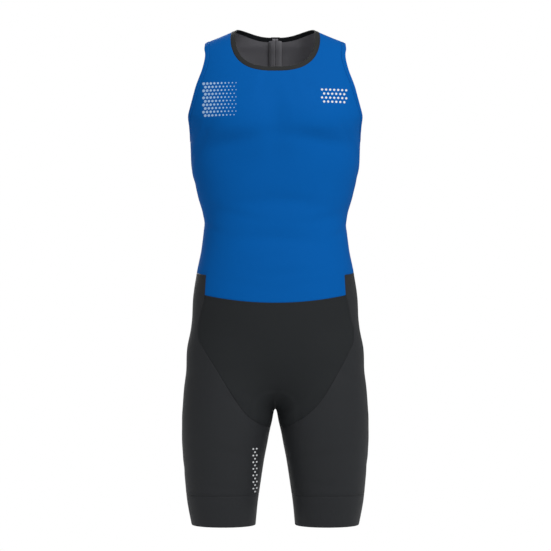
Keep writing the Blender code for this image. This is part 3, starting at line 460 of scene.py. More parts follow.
# The cloth that leaves a trough stands up as a lower ridge beside it.
RIDGE_SHARE = 0.45
RIDGE_OFFSET = 1.7
CREASE_COLUMNS = ("part", "angle", "height", "slope", "half_length", "half_width", "depth")
CREASES = (
    ("body", -58, -176, 52, 34, 6.5, 1.1),
    ("body", -70, -205, 38, 42, 7.0, 0.9),
    ("body", 60, -180, -50, 36, 6.5, 1.0),
    ("body", 73, -212, -36, 40, 7.0, 0.9),
    ("body", 112, -190, 44, 44, 7.5, 1.1),
    ("body", -116, -186, -46, 42, 7.5, 1.1),
    ("body", 86, -250, -20, 34, 8.0, 0.7),
    ("body", -88, -262, 16, 36, 8.0, 0.7),
    ("body", -40, -322, -12, 44, 8.0, 0.8),
    ("body", -66, -346, -18, 36, 7.0, 0.9),
    ("body", 48, -330, 14, 42, 8.0, 0.8),
    ("body", 70, -352, 20, 34, 7.0, 0.9),
    ("body", 96, -338, 8, 46, 8.0, 0.9),
    ("body", -98, -334, -6, 44, 8.0, 0.9),
    ("body", 128, -336, -8, 40, 8.0, 0.9),
    ("body", -131, -341, 10, 42, 8.0, 0.9),
    ("body", 10, -428, 4, 60, 10.0, 0.6),
    ("body", -24, -448, -8, 42, 8.0, 0.6),
    ("body", 30, -446, 10, 40, 8.0, 0.6),
    ("body", -36, -224, 10, 62, 30.0, 3.0),
    ("body", 38, -208, -8, 58, 28.0, 2.0),
    ("body", -12, -90, 80, 30, 9.0, 0.7),
    ("body", 16, -96, -78, 28, 9.0, 0.6),
    ("body", -30, -104, 30, 34, 9.0, 0.7),
    ("body", 33, -100, -28, 36, 9.0, 0.7),
    ("body", 150, -120, 62, 44, 9.0, 1.0),
    ("body", -152, -126, -60, 42, 9.0, 1.0),
    ("body", 163, -395, -14, 40, 8.0, 0.9),
    ("body", -160, -401, 12, 42, 8.0, 0.9),
    ("left", 24, -668, 34, 40, 7.0, 1.2),
    ("left", 40, -694, 24, 38, 7.0, 1.0),
    ("right", 24, -664, 34, 42, 7.0, 1.2),
    ("right", 42, -690, 26, 36, 7.0, 1.0),
    ("left", -30, -610, -24, 44, 9.0, 0.8),
    ("right", -32, -606, -26, 42, 9.0, 0.8),
    ("left", 8, -742, 10, 48, 9.0, 0.8),
    ("right", 6, -748, 12, 46, 9.0, 0.8),
    ("left", -60, -770, -10, 44, 9.0, 0.8),
    ("right", -64, -764, -12, 42, 9.0, 0.8),
    ("left", 150, -690, -28, 46, 8.0, 1.4),
    ("right", 152, -686, -26, 44, 8.0, 1.4),
    ("left", 168, -716, -16, 40, 7.0, 1.1),
    ("right", 166, -712, -18, 42, 7.0, 1.1),
    ("left", -152, -742, 14, 46, 9.0, 1.0),
    ("right", -150, -748, 12, 44, 9.0, 1.0),
    ("left", 0, -806, 4, 40, 8.0, 0.6),
    ("right", 2, -802, -4, 42, 8.0, 0.6),
)


def crease_depth(p):
    """Depth of the finer creases at points, as a move along the outward direction."""
    total = np.zeros(len(p))
    for row in CREASES:
        crease = dict(zip(CREASE_COLUMNS, row))
        hub, side, near = 0.0, 1.0, np.ones(len(p))
        target = math.radians(crease["angle"])
        if crease["part"] != "body":
            side = -1.0 if crease["part"] == "left" else 1.0
            hub = side * follow(THIGH, "centre", p[:, 2])
            near = (side * p[:, 0] > LEG_OVERLAP).astype(float)
            # On a leg the angle runs from the front towards the inner side.
            target = -target
        x = side * (p[:, 0] - hub)
        angle = np.arctan2(x, -p[:, 1])
        turn = (angle - target + math.pi) % (2 * math.pi) - math.pi
        across = turn * np.hypot(x, p[:, 1])
        rise = p[:, 2] - crease["height"] * MM
        slope = math.radians(crease["slope"])
        along = (across * math.cos(slope) + rise * math.sin(slope)) / (crease["half_length"] * MM)
        aside = (rise * math.cos(slope) - across * math.sin(slope)) / (crease["half_width"] * MM)
        trough = np.exp(-(along**2) - aside**2)
        ridge = RIDGE_SHARE * np.exp(-(along**2) - (aside - RIDGE_OFFSET) ** 2)
        lift = trough - ridge
        total -= crease["depth"] * MM * near * lift
    return total


print("creases", len(FOLDS), "main and", len(CREASES), "fine")

# %% The edge of the pad, which shows through the shorts
PAD_EDGE_COLUMNS = ("height", "half_width")
PAD_FRONT_EDGE = (
    (-634.5, 0), (-637, 17), (-642, 27), (-650, 35), (-662, 39.5), (-676, 38.5), (-700, 34)
)
PAD_SEAT_EDGE = (
    (-575, 0), (-579, 22), (-588, 36), (-602, 46), (-622, 49), (-650, 43), (-690, 36)
)
PAD_TOP_SHARPNESS = 1.6
PAD_GROOVE_OUT = 1.8
PAD_FADE_HEIGHT = -712 * MM
PAD_FADE = 20 * MM
PAD_HIGHEST = -560 * MM
PAD_STEP = 1.5 * MM
PAD_SHOWS = 1.15 * MM
PAD_GROOVE = 0.45 * MM


def pad_relief(p):
    """Rise of the cloth over the pad, with a soft step at the pad's edge."""
    rise = np.zeros(len(p))
    low = np.clip((p[:, 2] - PAD_FADE_HEIGHT) / PAD_FADE, 0, 1)
    for side, edge in ((-1, PAD_FRONT_EDGE), (1, PAD_SEAT_EDGE)):
        columns = (np.array(column, float) * MM for column in zip(*edge[::-1]))
        line = dict(zip(PAD_EDGE_COLUMNS, columns))
        inside_x = np.interp(p[:, 2], line["height"], line["half_width"]) - np.abs(p[:, 0])
        inside_z = (line["height"][-1] - p[:, 2]) * PAD_TOP_SHARPNESS
        inside = np.minimum(inside_x, inside_z)
        step = 0.5 + 0.5 * np.tanh(inside / PAD_STEP)
        groove = PAD_GROOVE * np.exp(-((inside / PAD_STEP + PAD_GROOVE_OUT) ** 2))
        rise += (PAD_SHOWS * step - groove) * low * (side * p[:, 1] > 0)
    return rise * (p[:, 2] < PAD_HIGHEST)


def cloth_relief(p, normal):
    """All the troughs, creases and steps of the cloth at points."""
    return relief(p, normal) + crease_depth(p) + pad_relief(p)


print("pad edge rises", PAD_SHOWS)

# %% [markdown]
# ## Seam lines
# A cutter draws the openings and seams first, and the panels fill what lies between them. The
# neck is an egg shape seen from above and the armhole an oval seen from the side, both laid
# onto the form. The bindings are strips of even width, so their seams are lines at an even
# distance beside the free edge, measured along the cloth.

# %% Sizes of the cut
CLOTH_WALL = 1.2 * MM
BAND_WALL = 1.6 * MM
BINDING_WIDTH = 9.0 * MM
NECK_FRONT_SQUARENESS = 2.7
NECK_BACK_SQUARENESS = 2.4
NECK_HALF_WIDTH = 71.5 * MM
NECK_MIDDLE_Y = -28 * MM
NECK_FRONT = 55.6 * MM
NECK_BACK = 68.2 * MM
ARMHOLE_TOP = -12 * MM
ARMHOLE_BOTTOM = -180 * MM
ARMHOLE_HALF_OPENING = 57 * MM
ARM_FRONT_LEVEL = 106
ARM_BACK_LEVEL = 128
FAR_OUT = 250 * MM
OVER_SHOULDERS = 60 * MM
DOWN_REACH = 300 * MM
LEG_GAP_REACH = 80 * MM
ARC_START = -600 * MM
BELOW_CROTCH = -800 * MM
UP_REACH = 200 * MM
STEP_SIDE_HEIGHT = -423 * MM
STEP_CORNER = (123.5 * MM, -428 * MM)
WAIST_CORNER = (125.5 * MM, -464 * MM)
WAIST_MIDDLE_HEIGHT = -477 * MM
BAND_TOP = -821 * MM
HEM_HEIGHT = -877 * MM
LEG_SEAM_LOWEST = -702 * MM
LEG_OUTER_LOWEST = -745 * MM
CROTCH_SEAM_Y = 6 * MM
ZIP_HALF_GAP = 5.4 * MM
ZIP_END_HEIGHT = -262 * MM
RISE_STEPS = 40
ARC_STEPS = 60
FRONT_COLUMNS = 34
STRIP_COLUMNS = 9
LOW_ROWS = 10
SIDE_ROWS = 62
ARM_FRONT_ROWS = (32, 26)
ARM_BACK_ROWS = (36, 26)
BRIEF_ROWS = 54
LEG_RING = 112
LEG_TUBE_ROWS = 36
BAND_ROWS = 15
SEAM_TURN_HEIGHT = -672 * MM
SEAM_TURN_DROP = 25 * MM
SEAM_TURN_STEPS = 10
SEAM_TURN_POWER = 0.8
TAIL_STEPS = 8
EASED_ROWS = 9

# %% Openings and the lines beside them
def neck_edge(turn):
    """Free edge of the neck, from the middle front (0) to the middle back (pi)."""
    turn = np.asarray(turn, float)
    s, c = np.sin(turn), np.cos(turn)
    reach = np.where(c > 0, NECK_FRONT, NECK_BACK)
    power = np.where(c > 0, NECK_FRONT_SQUARENESS, NECK_BACK_SQUARENESS)
    round_off = (np.abs(s) ** power + np.abs(c) ** power) ** (1 / power)
    x = NECK_HALF_WIDTH * s / round_off
    y = NECK_MIDDLE_Y - reach * c / round_off
    top = np.stack([x, y, np.full_like(x, OVER_SHOULDERS)], axis=-1)
    return cast(top, np.tile([0.0, 0.0, -1.0], (len(x), 1)), DOWN_REACH)


def armhole_edge(turn):
    """Free edge of the armhole, from under the arm (0) by the front to the shoulder (pi)."""
    turn = np.asarray(turn, float)
    middle = (ARMHOLE_TOP + ARMHOLE_BOTTOM) / 2
    half = (ARMHOLE_TOP - ARMHOLE_BOTTOM) / 2
    z = middle - half * np.cos(turn)
    y = -ARMHOLE_HALF_OPENING * np.sin(turn)
    out = np.stack([np.full_like(z, FAR_OUT), y, z], axis=-1)
    return cast(out, np.tile([-1.0, 0.0, 0.0], (len(z), 1)), FAR_OUT)


def beside(edge, turns, distance):
    """Points of the form at a distance beside an edge, measured along the form."""
    reach = 1e-3
    here = edge(turns)
    along = edge(turns + reach) - edge(turns - reach)
    along /= np.linalg.norm(along, axis=1)[:, None]
    steps = 4
    for _ in range(steps):
        away = np.cross(along, normals(here))
        away /= np.linalg.norm(away, axis=1)[:, None]
        here = settle(here + away * distance / steps)
    return here


def find_turn(edge, distance, low, high, value, axis):
    """Turn at which the line beside an edge crosses a plane."""
    turns = np.linspace(low, high, 400)
    reach = beside(edge, turns, distance)[:, axis] - value
    i = int(np.argmax(reach[:-1] * reach[1:] <= 0))
    return turns[i] + (turns[i + 1] - turns[i]) * reach[i] / (reach[i] - reach[i + 1])


def lower_neck(turns):
    """Seam line under the neck binding."""
    return beside(neck_edge, turns, BINDING_WIDTH)


def lower_armhole(turns):
    """Seam line round the armhole binding."""
    return beside(armhole_edge, turns, -BINDING_WIDTH)


class Seams:
    """Points that panels share along their seams, for the viewer's right side."""

    def __init__(self):
        ridge = find_turn(neck_edge, BINDING_WIDTH, 0.5, 3.0, 0.0, 1)
        slit = find_turn(neck_edge, BINDING_WIDTH, 2.0, math.pi, ZIP_HALF_GAP, 0)
        self.neck_front_turns = np.linspace(0.0, ridge, ARM_FRONT_ROWS[1] + 1)
        self.neck_back_turns = np.linspace(ridge, slit, ARM_BACK_ROWS[1] + 1)
        level = math.radians(ARM_FRONT_LEVEL)
        low = np.linspace(0.0, level, ARM_FRONT_ROWS[0] + 1)
        high = np.linspace(level, math.pi, ARM_FRONT_ROWS[1] + 1)
        self.arm_front_turns = np.concatenate([low, high[1:]])
        level = math.radians(ARM_BACK_LEVEL)
        low = np.linspace(0.0, level, ARM_BACK_ROWS[0] + 1)
        high = np.linspace(level, math.pi, ARM_BACK_ROWS[1] + 1)
        self.arm_back_turns = -np.concatenate([low, high[1:]])
        self.neck_front = lower_neck(self.neck_front_turns)
        self.neck_back = lower_neck(self.neck_back_turns)
        self.arm_front = lower_armhole(self.arm_front_turns)
        self.arm_back = lower_armhole(self.arm_back_turns)
        under_arm = self.arm_front[0, 2]
        self.side_heights = np.linspace(STEP_SIDE_HEIGHT, under_arm, SIDE_ROWS + 1)


seams = Seams()
print("neck front edge at", round(float(neck_edge(np.zeros(1))[0, 2]), 4))

# %% Grids of the bodice panels
def zip_half_gap(height):
    """Half of the slit at the centre back: open beside the zip, closed below it."""
    share = np.clip((height - ZIP_END_HEIGHT) / (9 * MM), 0, 1)
    return ZIP_HALF_GAP * share


def blend_rows(left, right, shares, side):
    """Rows of points on the body's form from one edge to another."""
    a, b = ring_angle(left, side), ring_angle(right, side)
    angle = a[:, None] + (b - a)[:, None] * shares[None, :]
    height = left[:, 2][:, None] + (right[:, 2] - left[:, 2])[:, None] * shares[None, :]
    return ring_point(angle, height, side)


def waist_height(x):
    """Height of the waist seam at a distance from the middle."""
    rise = WAIST_CORNER[1] - WAIST_MIDDLE_HEIGHT
    return WAIST_MIDDLE_HEIGHT + rise * (np.asarray(x) / WAIST_CORNER[0]) ** 2


def bodice_shares():
    """Places of the columns across a bodice panel, from the middle to the side seam."""
    corner = front_view_point(*STEP_CORNER, -1)
    notch = float(ring_angle(corner, -1)) / (math.pi / 2)
    inner = np.linspace(0, notch, FRONT_COLUMNS + 1)
    outer = np.linspace(notch, 1, STRIP_COLUMNS + 1)
    return np.concatenate([inner, outer[1:]])


def waist_row(side):
    """Points of the waist seam from the middle to the corner below the side step."""
    corner = front_view_point(*WAIST_CORNER, side)
    share = np.linspace(0, 1, FRONT_COLUMNS + 1)
    angle = float(ring_angle(corner, side)) * share
    flat = ring_point(angle, WAIST_MIDDLE_HEIGHT, side)
    x = flat[:, 0] * WAIST_CORNER[0] / flat[-1, 0]
    return front_view_point(x, waist_height(x), side)


def bodice_half(seams, side):
    """Grid of one half of the bodice, on the viewer's right, and the rows it starts at.

    Rows run from the waist seam up to the shoulder line. The lowest rows stop at the corner
    where the side strip of the leg panel steps up.
    """
    shares = bodice_shares()
    rows = ARM_FRONT_ROWS if side < 0 else ARM_BACK_ROWS
    neck = seams.neck_front if side < 0 else seams.neck_back[::-1]
    arm = seams.arm_front if side < 0 else seams.arm_back
    neck_low = neck[0, 2]
    under_arm = seams.side_heights[-1]
    heights = np.concatenate([
        np.linspace(STEP_CORNER[1], under_arm - 6 * MM, SIDE_ROWS + 1),
        np.linspace(under_arm - 6 * MM, neck_low, rows[0] + 1)[1:],
    ])
    middle_x = zip_half_gap(heights) if side > 0 else np.zeros_like(heights)
    middle = front_view_point(middle_x, heights, side)
    left = np.concatenate([middle[:-1], neck])
    seam = ring_point(np.full_like(seams.side_heights, math.pi / 2), seams.side_heights, side)
    right = np.concatenate([seam[:-1], arm])
    upper = blend_rows(left, right, shares, side)
    notch = FRONT_COLUMNS
    upper[0, :notch, 2] = STEP_CORNER[1]
    rise = np.linspace(0, 1, STRIP_COLUMNS + 1)
    upper[0, notch:, 2] = STEP_CORNER[1] + (STEP_SIDE_HEIGHT - STEP_CORNER[1]) * rise
    upper[0] = ring_point(shares * math.pi / 2, upper[0, :, 2], side)
    waist = waist_row(side)
    share = np.linspace(0, 1, LOW_ROWS + 1)[:-1]
    low = []
    for t in share:
        height = waist[:, 2] + (STEP_CORNER[1] - waist[:, 2]) * t
        x = waist[:, 0] + (upper[0, : notch + 1, 0] - waist[:, 0]) * t
        low.append(front_view_point(x, height, side))
    return np.array(low), upper


def low_with_step(low, upper):
    """The rows below the side step, up to and with the row at the step."""
    return np.concatenate([low, upper[:1, : FRONT_COLUMNS + 1]])


def mirrored(grid):
    """The same grid on the viewer's left."""
    return grid * np.array([-1.0, 1.0, 1.0])


print("columns across half a bodice panel", len(bodice_shares()))

# %% Grids of the shorts and the legs
def leg_seam_point(height, side_name, side):
    """Point of the seam between shorts and leg, front (-1) or back (1), at given heights."""
    x = follow(SIDE_SEAM, side_name, height)
    sign = 1.0 if side_name == "right" else -1.0
    start = np.stack([sign * x, np.full_like(x, side * FAR_OUT), height], axis=-1)
    return cast(start, np.tile([0.0, -side, 0.0], (len(x), 1)), FAR_OUT)


def seam_levels():
    """Heights of the rows that the shorts and the leg panels share, from the waist down."""
    upper = np.linspace(WAIST_CORNER[1], SEAM_TURN_HEIGHT, BRIEF_ROWS + 1)
    drop = SEAM_TURN_DROP * np.linspace(0, 1, SEAM_TURN_STEPS + 1)[1:] ** SEAM_TURN_POWER
    return np.concatenate([upper, SEAM_TURN_HEIGHT - drop])


def inner_point(height, sign, y):
    """Point on the inner side of a leg, seen from the gap between the legs."""
    start = np.array([[0.0, y, height]])
    return cast(start, np.array([[sign, 0.0, 0.0]]), LEG_GAP_REACH)


def seam_loop(side_name, side):
    """One half of the leg seam: rows from the waist corner to the inner side of the thigh."""
    sign = 1.0 if side_name == "right" else -1.0
    points = leg_seam_point(seam_levels(), side_name, side)
    start = points[-1]
    tail = []
    for t in np.linspace(0, 1, TAIL_STEPS + 1)[1:]:
        y = start[1] + (CROTCH_SEAM_Y - start[1]) * math.sin(t * math.pi / 2)
        z = LEG_SEAM_LOWEST + (start[2] - LEG_SEAM_LOWEST) * (1 - t) ** 2
        tail.append(inner_point(z, sign, y)[0])
    return np.concatenate([points, np.array(tail)])


def rise_line(side, count):
    """Middle line of the shorts, from the waist seam to the crotch seam."""
    heights = np.linspace(WAIST_MIDDLE_HEIGHT, ARC_START, RISE_STEPS)
    start = np.stack([0 * heights, 0 * heights + side * FAR_OUT, heights], axis=-1)
    upper = cast(start, np.tile([0.0, -side, 0.0], (len(heights), 1)), FAR_OUT)
    last = upper[-1]
    base = np.array([[0.0, CROTCH_SEAM_Y, BELOW_CROTCH]])
    low = cast(base, np.array([[0.0, 0.0, 1.0]]), UP_REACH)[0]
    hub = np.array([0.0, CROTCH_SEAM_Y, last[2]])
    arc = []
    for t in np.linspace(0, math.pi / 2, ARC_STEPS)[1:-1]:
        way = np.array([0.0, side * math.cos(t), -math.sin(t)])
        arc.append(cast(hub[None] + way * FAR_OUT, -way[None], FAR_OUT)[0])
    line = np.concatenate([upper, np.array(arc), low[None]])
    return resample(line, count)


def resample(line, count):
    """Points at even steps along a line."""
    step = np.linalg.norm(np.diff(line, axis=0), axis=1)
    along = np.concatenate([[0], np.cumsum(step)])
    at = np.linspace(0, along[-1], count)
    return np.stack([np.interp(at, along, line[:, i]) for i in range(3)], axis=-1)


def brief_grid(side):
    """Grid of the shorts front (-1) or seat (1): rows from the waist seam to the crotch."""
    left, right = seam_loop("left", side), seam_loop("right", side)
    middle = rise_line(side, len(left))
    waist = waist_row(side)
    middle = settle(middle)
    # Towards the crotch the columns crowd to the middle, where the cloth bends most.
    crowd = 1 + 0.4 * np.linspace(0, 1, len(left)) ** 2
    share = np.linspace(0, 1, FRONT_COLUMNS + 1)[None, :] ** crowd[:, None]
    share = share[:, :, None]
    halves = []
    for edge in (left, right):
        half = settle(middle[:, None] + (edge - middle)[:, None] * share)
        half[:, -1] = edge
        halves.append(half)
    grid = np.concatenate([halves[0][:, :0:-1], halves[1]], axis=1)
    grid[0] = np.concatenate([mirrored(waist[1:])[::-1], waist])
    return grid


def around_leg(sign, turns, heights):
    """Points round a leg at turns from its front, towards its outer side."""
    centre = follow(THIGH, "centre", heights)
    hub = np.stack([sign * centre, 0 * heights, heights], axis=-1)
    way = np.stack([sign * np.sin(turns), -np.cos(turns), 0 * turns], axis=-1)
    # A ray towards the other leg starts at the middle plane.
    reach = np.minimum(UP_REACH, centre / np.maximum(-np.sin(turns), 1e-6))
    return cast(hub + way * reach[:, None], -way, reach)


def leg_row(front, back, sign, count, outer_height):
    """Row from the front edge by the outer side to the back edge, which sags outwards."""
    hub_x = sign * float(follow(THIGH, "centre", front[2]))
    start = math.atan2(sign * (front[0] - hub_x), -front[1])
    end = math.atan2(sign * (back[0] - hub_x), -back[1])
    if end < start + 1e-6:
        end += 2 * math.pi
    share = np.linspace(0, 1, count + 1)
    sag = np.sin(math.pi * share) ** 2
    heights = front[2] + (outer_height - front[2]) * sag
    row = around_leg(sign, start + (end - start) * share, heights)
    row[0], row[-1] = front, back
    return row


def step_line(sign):
    """Seam at the top of the side strip, from the front corner round to the back corner."""
    shares = bodice_shares()[FRONT_COLUMNS:]
    rise = np.linspace(0, 1, STRIP_COLUMNS + 1)
    height = STEP_CORNER[1] + (STEP_SIDE_HEIGHT - STEP_CORNER[1]) * rise
    front = ring_point(shares * math.pi / 2, height, -1)
    back = ring_point(shares * math.pi / 2, height, 1)
    line = np.concatenate([front, back[-2::-1]])
    return line * np.array([sign, 1.0, 1.0])


def leg_grid(side_name):
    """Grid of a leg panel: rows from the side step down to the band, front round to back."""
    sign = 1.0 if side_name == "right" else -1.0
    front, back = seam_loop(side_name, -1), seam_loop(side_name, 1)
    top = resample(step_line(sign), LEG_RING + 1)
    rows = [top]
    outer = np.linspace(front[0, 2], LEG_OUTER_LOWEST, len(front))
    first = leg_row(front[0], back[0], sign, LEG_RING, outer[0])
    for t in np.linspace(0, 1, LOW_ROWS + 1)[1:-1]:
        guide = top + (first - top) * t
        edge = [front_view_point(guide[i, 0], guide[i, 2], s) for i, s in ((0, -1), (-1, 1))]
        guide = settle(guide)
        guide[0], guide[-1] = edge
        rows.append(guide)
    rows.append(first)
    for a, b, height in zip(front[1:], back[1:], outer[1:]):
        rows.append(leg_row(a, b, sign, LEG_RING, height))
    last = rows[-1][:, 2]
    for t in np.linspace(0, 1, LEG_TUBE_ROWS + 1)[1:]:
        rows.append(tube_row(sign, last + (BAND_TOP - last) * t))
    return np.array(rows)


def tube_row(sign, heights):
    """Closed row round a leg, from its inner side round by the front."""
    inner = np.array([follow(THIGH, "centre", heights[0])])
    start = -math.pi / 2 - math.atan2(CROTCH_SEAM_Y, inner[0])
    turns = np.linspace(start, start + 2 * math.pi, len(heights))
    return around_leg(sign, turns, heights)


def shorts_grid(side):
    """Grid of the shorts whose upper rows follow the curve of the waist seam."""
    grid = brief_grid(side)
    sag = grid[0] - (2 * grid[1] - grid[2])
    sag[[0, -1]] = 0.0
    for k in range(1, EASED_ROWS):
        grid[k] = settle(grid[k] + sag * (1 - k / EASED_ROWS))
    return grid[::-1]


print("rows from waist to crotch", len(seam_levels()) + TAIL_STEPS)

# %% [markdown]
# ## From a grid to cloth
# A panel could be a flat plane with a Solidify modifier, but then its two sides can't have
# different colours easily, and its seams stay square. Here each grid of points becomes a
# closed wall: an outer side, an inner side, and the cut edge. A narrow ring along the edge
# rolls down into the seam, as cloth does where it is sewn. Every corner also keeps its place
# on the flat cloth in metres, as a UV map, so that the knit is never stretched.

# %% Panels
EDGE_RING = 1.1 * MM
EDGE_ROLL = 0.42 * MM
EDGE_SQUEEZE = 1.5
THINNEST_EDGE = 0.3 * MM
RING_SHARE = 0.45
NARROWEST_RING = 0.05 * MM
SAME_PLACE = 0.01 * MM


def flat_places(grid, from_middle):
    """Places of grid points on the flat cloth: across and along.

    Across is measured from the middle of the suit or from the middle of the grid.
    """
    across = np.linalg.norm(np.diff(grid, axis=1), axis=2)
    across = np.concatenate([np.zeros((len(grid), 1)), np.cumsum(across, axis=1)], axis=1)
    if from_middle:
        side = 1.0 if grid[..., 0].mean() > 0 else -1.0
        across = side * (across + np.abs(grid[:, :1, 0]))
    else:
        across -= across[:, grid.shape[1] // 2][:, None]
    along = np.linalg.norm(np.diff(grid, axis=0), axis=2)
    along = np.concatenate([np.zeros((1, grid.shape[1])), np.cumsum(along, axis=0)])
    return np.stack([across, along + grid[0, :, 2][None, :]], axis=-1)


class Panel:
    """Grids of points on the form that are sewn to be one piece of cloth."""

    def __init__(self, *grids, values=None, from_middle=False):
        self.points = np.concatenate([grid.reshape(-1, 3) for grid in grids])
        faces, places = [], []
        start = 0
        for grid in grids:
            index = np.arange(grid.shape[0] * grid.shape[1]).reshape(grid.shape[:2])
            face = [index[:-1, :-1], index[:-1, 1:], index[1:, 1:], index[1:, :-1]]
            face = np.stack(face, axis=-1).reshape(-1, 4)
            middle = grid.shape[0] // 2, grid.shape[1] // 2
            spot = grid[middle]
            across = grid[middle[0], middle[1] + 1] - spot
            up = grid[middle[0] + 1, middle[1]] - spot
            if np.cross(across, up) @ normals(spot) < 0:
                face = face[:, ::-1]
            places.append(flat_places(grid, from_middle).reshape(-1, 2)[face])
            faces.append(face + start)
            start += index.size
        keys = np.round(self.points / SAME_PLACE).astype(np.int64)
        _, first, same = np.unique(keys, axis=0, return_index=True, return_inverse=True)
        self.points = self.points[first]
        self.faces = same.reshape(-1)[np.concatenate(faces)]
        self.places = np.concatenate(places)
        self.outward = normals(self.points)
        self.roll = np.zeros(len(self.points))
        self.values = None if values is None else values.reshape(len(same), -1)[first]

    def open_edges(self):
        """Edges of one face only: their two points, their face and their first corner."""
        a, b = self.faces, np.roll(self.faces, -1, axis=1)
        face, corner = np.nonzero(a != b)
        a, b = a[face, corner], b[face, corner]
        key = np.minimum(a, b) * len(self.points) + np.maximum(a, b)
        _, first, count = np.unique(key, return_index=True, return_counts=True)
        pick = first[count == 1]
        return a[pick], b[pick], face[pick], corner[pick]

    def add_edge_ring(self):
        """A narrow ring of faces along the open edges, which rolls down into the seam."""
        a, b, face, corner = self.open_edges()
        along = self.points[b] - self.points[a]
        along /= np.linalg.norm(along, axis=1)[:, None]
        total = np.zeros_like(self.points)
        one = np.zeros_like(self.points)
        for v in (a, b):
            side = np.cross(self.outward[v], along)
            side /= np.linalg.norm(side, axis=1)[:, None]
            np.add.at(total, v, side)
            one[v] = side
        edge = np.unique(np.concatenate([a, b]))
        way = total[edge] / np.maximum(np.linalg.norm(total[edge], axis=1), 1e-9)[:, None]
        reach = np.maximum((way * one[edge]).sum(1), 0.5)
        move = np.zeros_like(self.points)
        move[edge] = way
        # Where rows crowd towards the edge, the ring is narrower, so that it never folds over.
        room = np.full(len(self.points), EDGE_RING / RING_SHARE)
        inner = np.ones(len(self.points), bool)
        inner[edge] = False
        for turn in (1, 2, 3):
            u, v = self.faces.ravel(), np.roll(self.faces, turn, axis=1).ravel()
            pick = inner[v] & ~inner[u]
            u, v = u[pick], v[pick]
            np.minimum.at(room, u, ((self.points[v] - self.points[u]) * move[u]).sum(1))
        width = np.clip(RING_SHARE * room[edge], NARROWEST_RING, EDGE_RING)
        move[edge] = way * (width / reach)[:, None]
        old_places = self.places.copy()
        here = self.points[self.faces]
        e1, e2 = np.roll(here, -1, axis=1) - here, np.roll(here, 1, axis=1) - here
        f1 = np.roll(self.places, -1, axis=1) - self.places
        f2 = np.roll(self.places, 1, axis=1) - self.places
        shift = move[self.faces]
        aa, bb, ab = (e1 * e1).sum(2), (e2 * e2).sum(2), (e1 * e2).sum(2)
        ad, bd = (e1 * shift).sum(2), (e2 * shift).sum(2)
        size = aa * bb - ab * ab
        safe = size > 1e-18
        size = np.where(safe, size, 1.0)
        s = np.where(safe, (ad * bb - bd * ab) / size, 0.0)
        t = np.where(safe, (bd * aa - ad * ab) / size, 0.0)
        self.places = self.places + s[..., None] * f1 + t[..., None] * f2
        count = len(self.points)
        twin = np.arange(count)
        twin[edge] = count + np.arange(len(edge))
        ring = np.stack([a, b, twin[b], twin[a]], axis=-1)
        after = (corner + 1) % 4
        ring_places = [old_places[face, corner], old_places[face, after]]
        ring_places += [self.places[face, after], self.places[face, corner]]
        self.faces = np.concatenate([twin[self.faces], ring])
        self.places = np.concatenate([self.places, np.stack(ring_places, axis=1)])
        self.points = np.concatenate([self.points, (self.points + move)[edge]])
        self.outward = np.concatenate([self.outward, self.outward[edge]])
        self.roll = np.concatenate([self.roll, np.zeros(len(edge))])
        self.roll[edge] = EDGE_ROLL
        return self

    def edge_distance(self):
        """Distance of every point from the nearest open edge."""
        a, b, _, _ = self.open_edges()
        along = self.points[b] - self.points[a]
        spots = np.concatenate([self.points[a] + along * t for t in (0, 0.25, 0.5, 0.75)])
        tree = kdtree.KDTree(len(spots))
        for i, spot in enumerate(spots):
            tree.insert(spot, i)
        tree.balance()
        return np.array([tree.find(p)[2] for p in self.points])

    def area(self):
        """Area of the outer side."""
        p = self.points[self.faces]
        first = np.cross(p[:, 1] - p[:, 0], p[:, 2] - p[:, 0])
        second = np.cross(p[:, 2] - p[:, 0], p[:, 3] - p[:, 0])
        return float((np.linalg.norm(first, axis=1) + np.linalg.norm(second, axis=1)).sum() / 2)

    def cloth(self, name, wall=CLOTH_WALL, lift=0.0):
        """Closed wall of cloth: outer side first, then the inner side and the cut edge."""
        out = lift + cloth_relief(self.points, self.outward) - self.roll
        outer = self.points + self.outward * np.asarray(out)[:, None]
        thick = np.maximum(wall - EDGE_SQUEEZE * self.roll, THINNEST_EDGE)
        inner = outer - self.outward * np.broadcast_to(thick, len(outer))[:, None]
        a, b, face, corner = self.open_edges()
        count = len(outer)
        after = (corner + 1) % 4
        rim = np.stack([b, a, a + count, b + count], axis=-1)
        rim_places = np.stack([self.places[face, after], self.places[face, corner]] * 2, axis=1)
        rim_places[:, 2:] = rim_places[:, 1::-1]
        faces = np.concatenate([self.faces, self.faces[:, ::-1] + count, rim])
        places = np.concatenate([self.places, self.places[:, ::-1], rim_places])
        side = np.repeat([0, 1, 0], [len(self.faces), len(self.faces), len(rim)])
        return closed_mesh(name, np.concatenate([outer, inner]), faces, places, side, self)


def closed_mesh(name, points, faces, places, side, panel):
    """A mesh of quads and triangles with its UV map, its two sides and its edge distance."""
    rows, corners = [], []
    for face, place in zip(faces.tolist(), places):
        keep = [i for i in range(4) if face[i] != face[i - 1]]
        rows.append([face[i] for i in keep])
        corners.append(place[keep])
    good = [i for i, row in enumerate(rows) if len(set(row)) > 2]
    mesh = bpy.data.meshes.new(name)
    mesh.from_pydata(points.tolist(), [], [rows[i] for i in good])
    uv = mesh.uv_layers.new(name="flat cloth")
    uv.data.foreach_set("uv", np.concatenate([corners[i] for i in good]).ravel())
    mesh.polygons.foreach_set("material_index", side[good].astype(np.int32))
    mesh.polygons.foreach_set("use_smooth", np.ones(len(good), bool))
    near = mesh.attributes.new("edge_distance", "FLOAT", "POINT")
    distance = panel.edge_distance()
    near.data.foreach_set("value", np.concatenate([distance, distance]).astype(np.float32))
    mesh.update()
    return mesh


print("cloth wall", CLOTH_WALL, "edge roll", EDGE_ROLL)
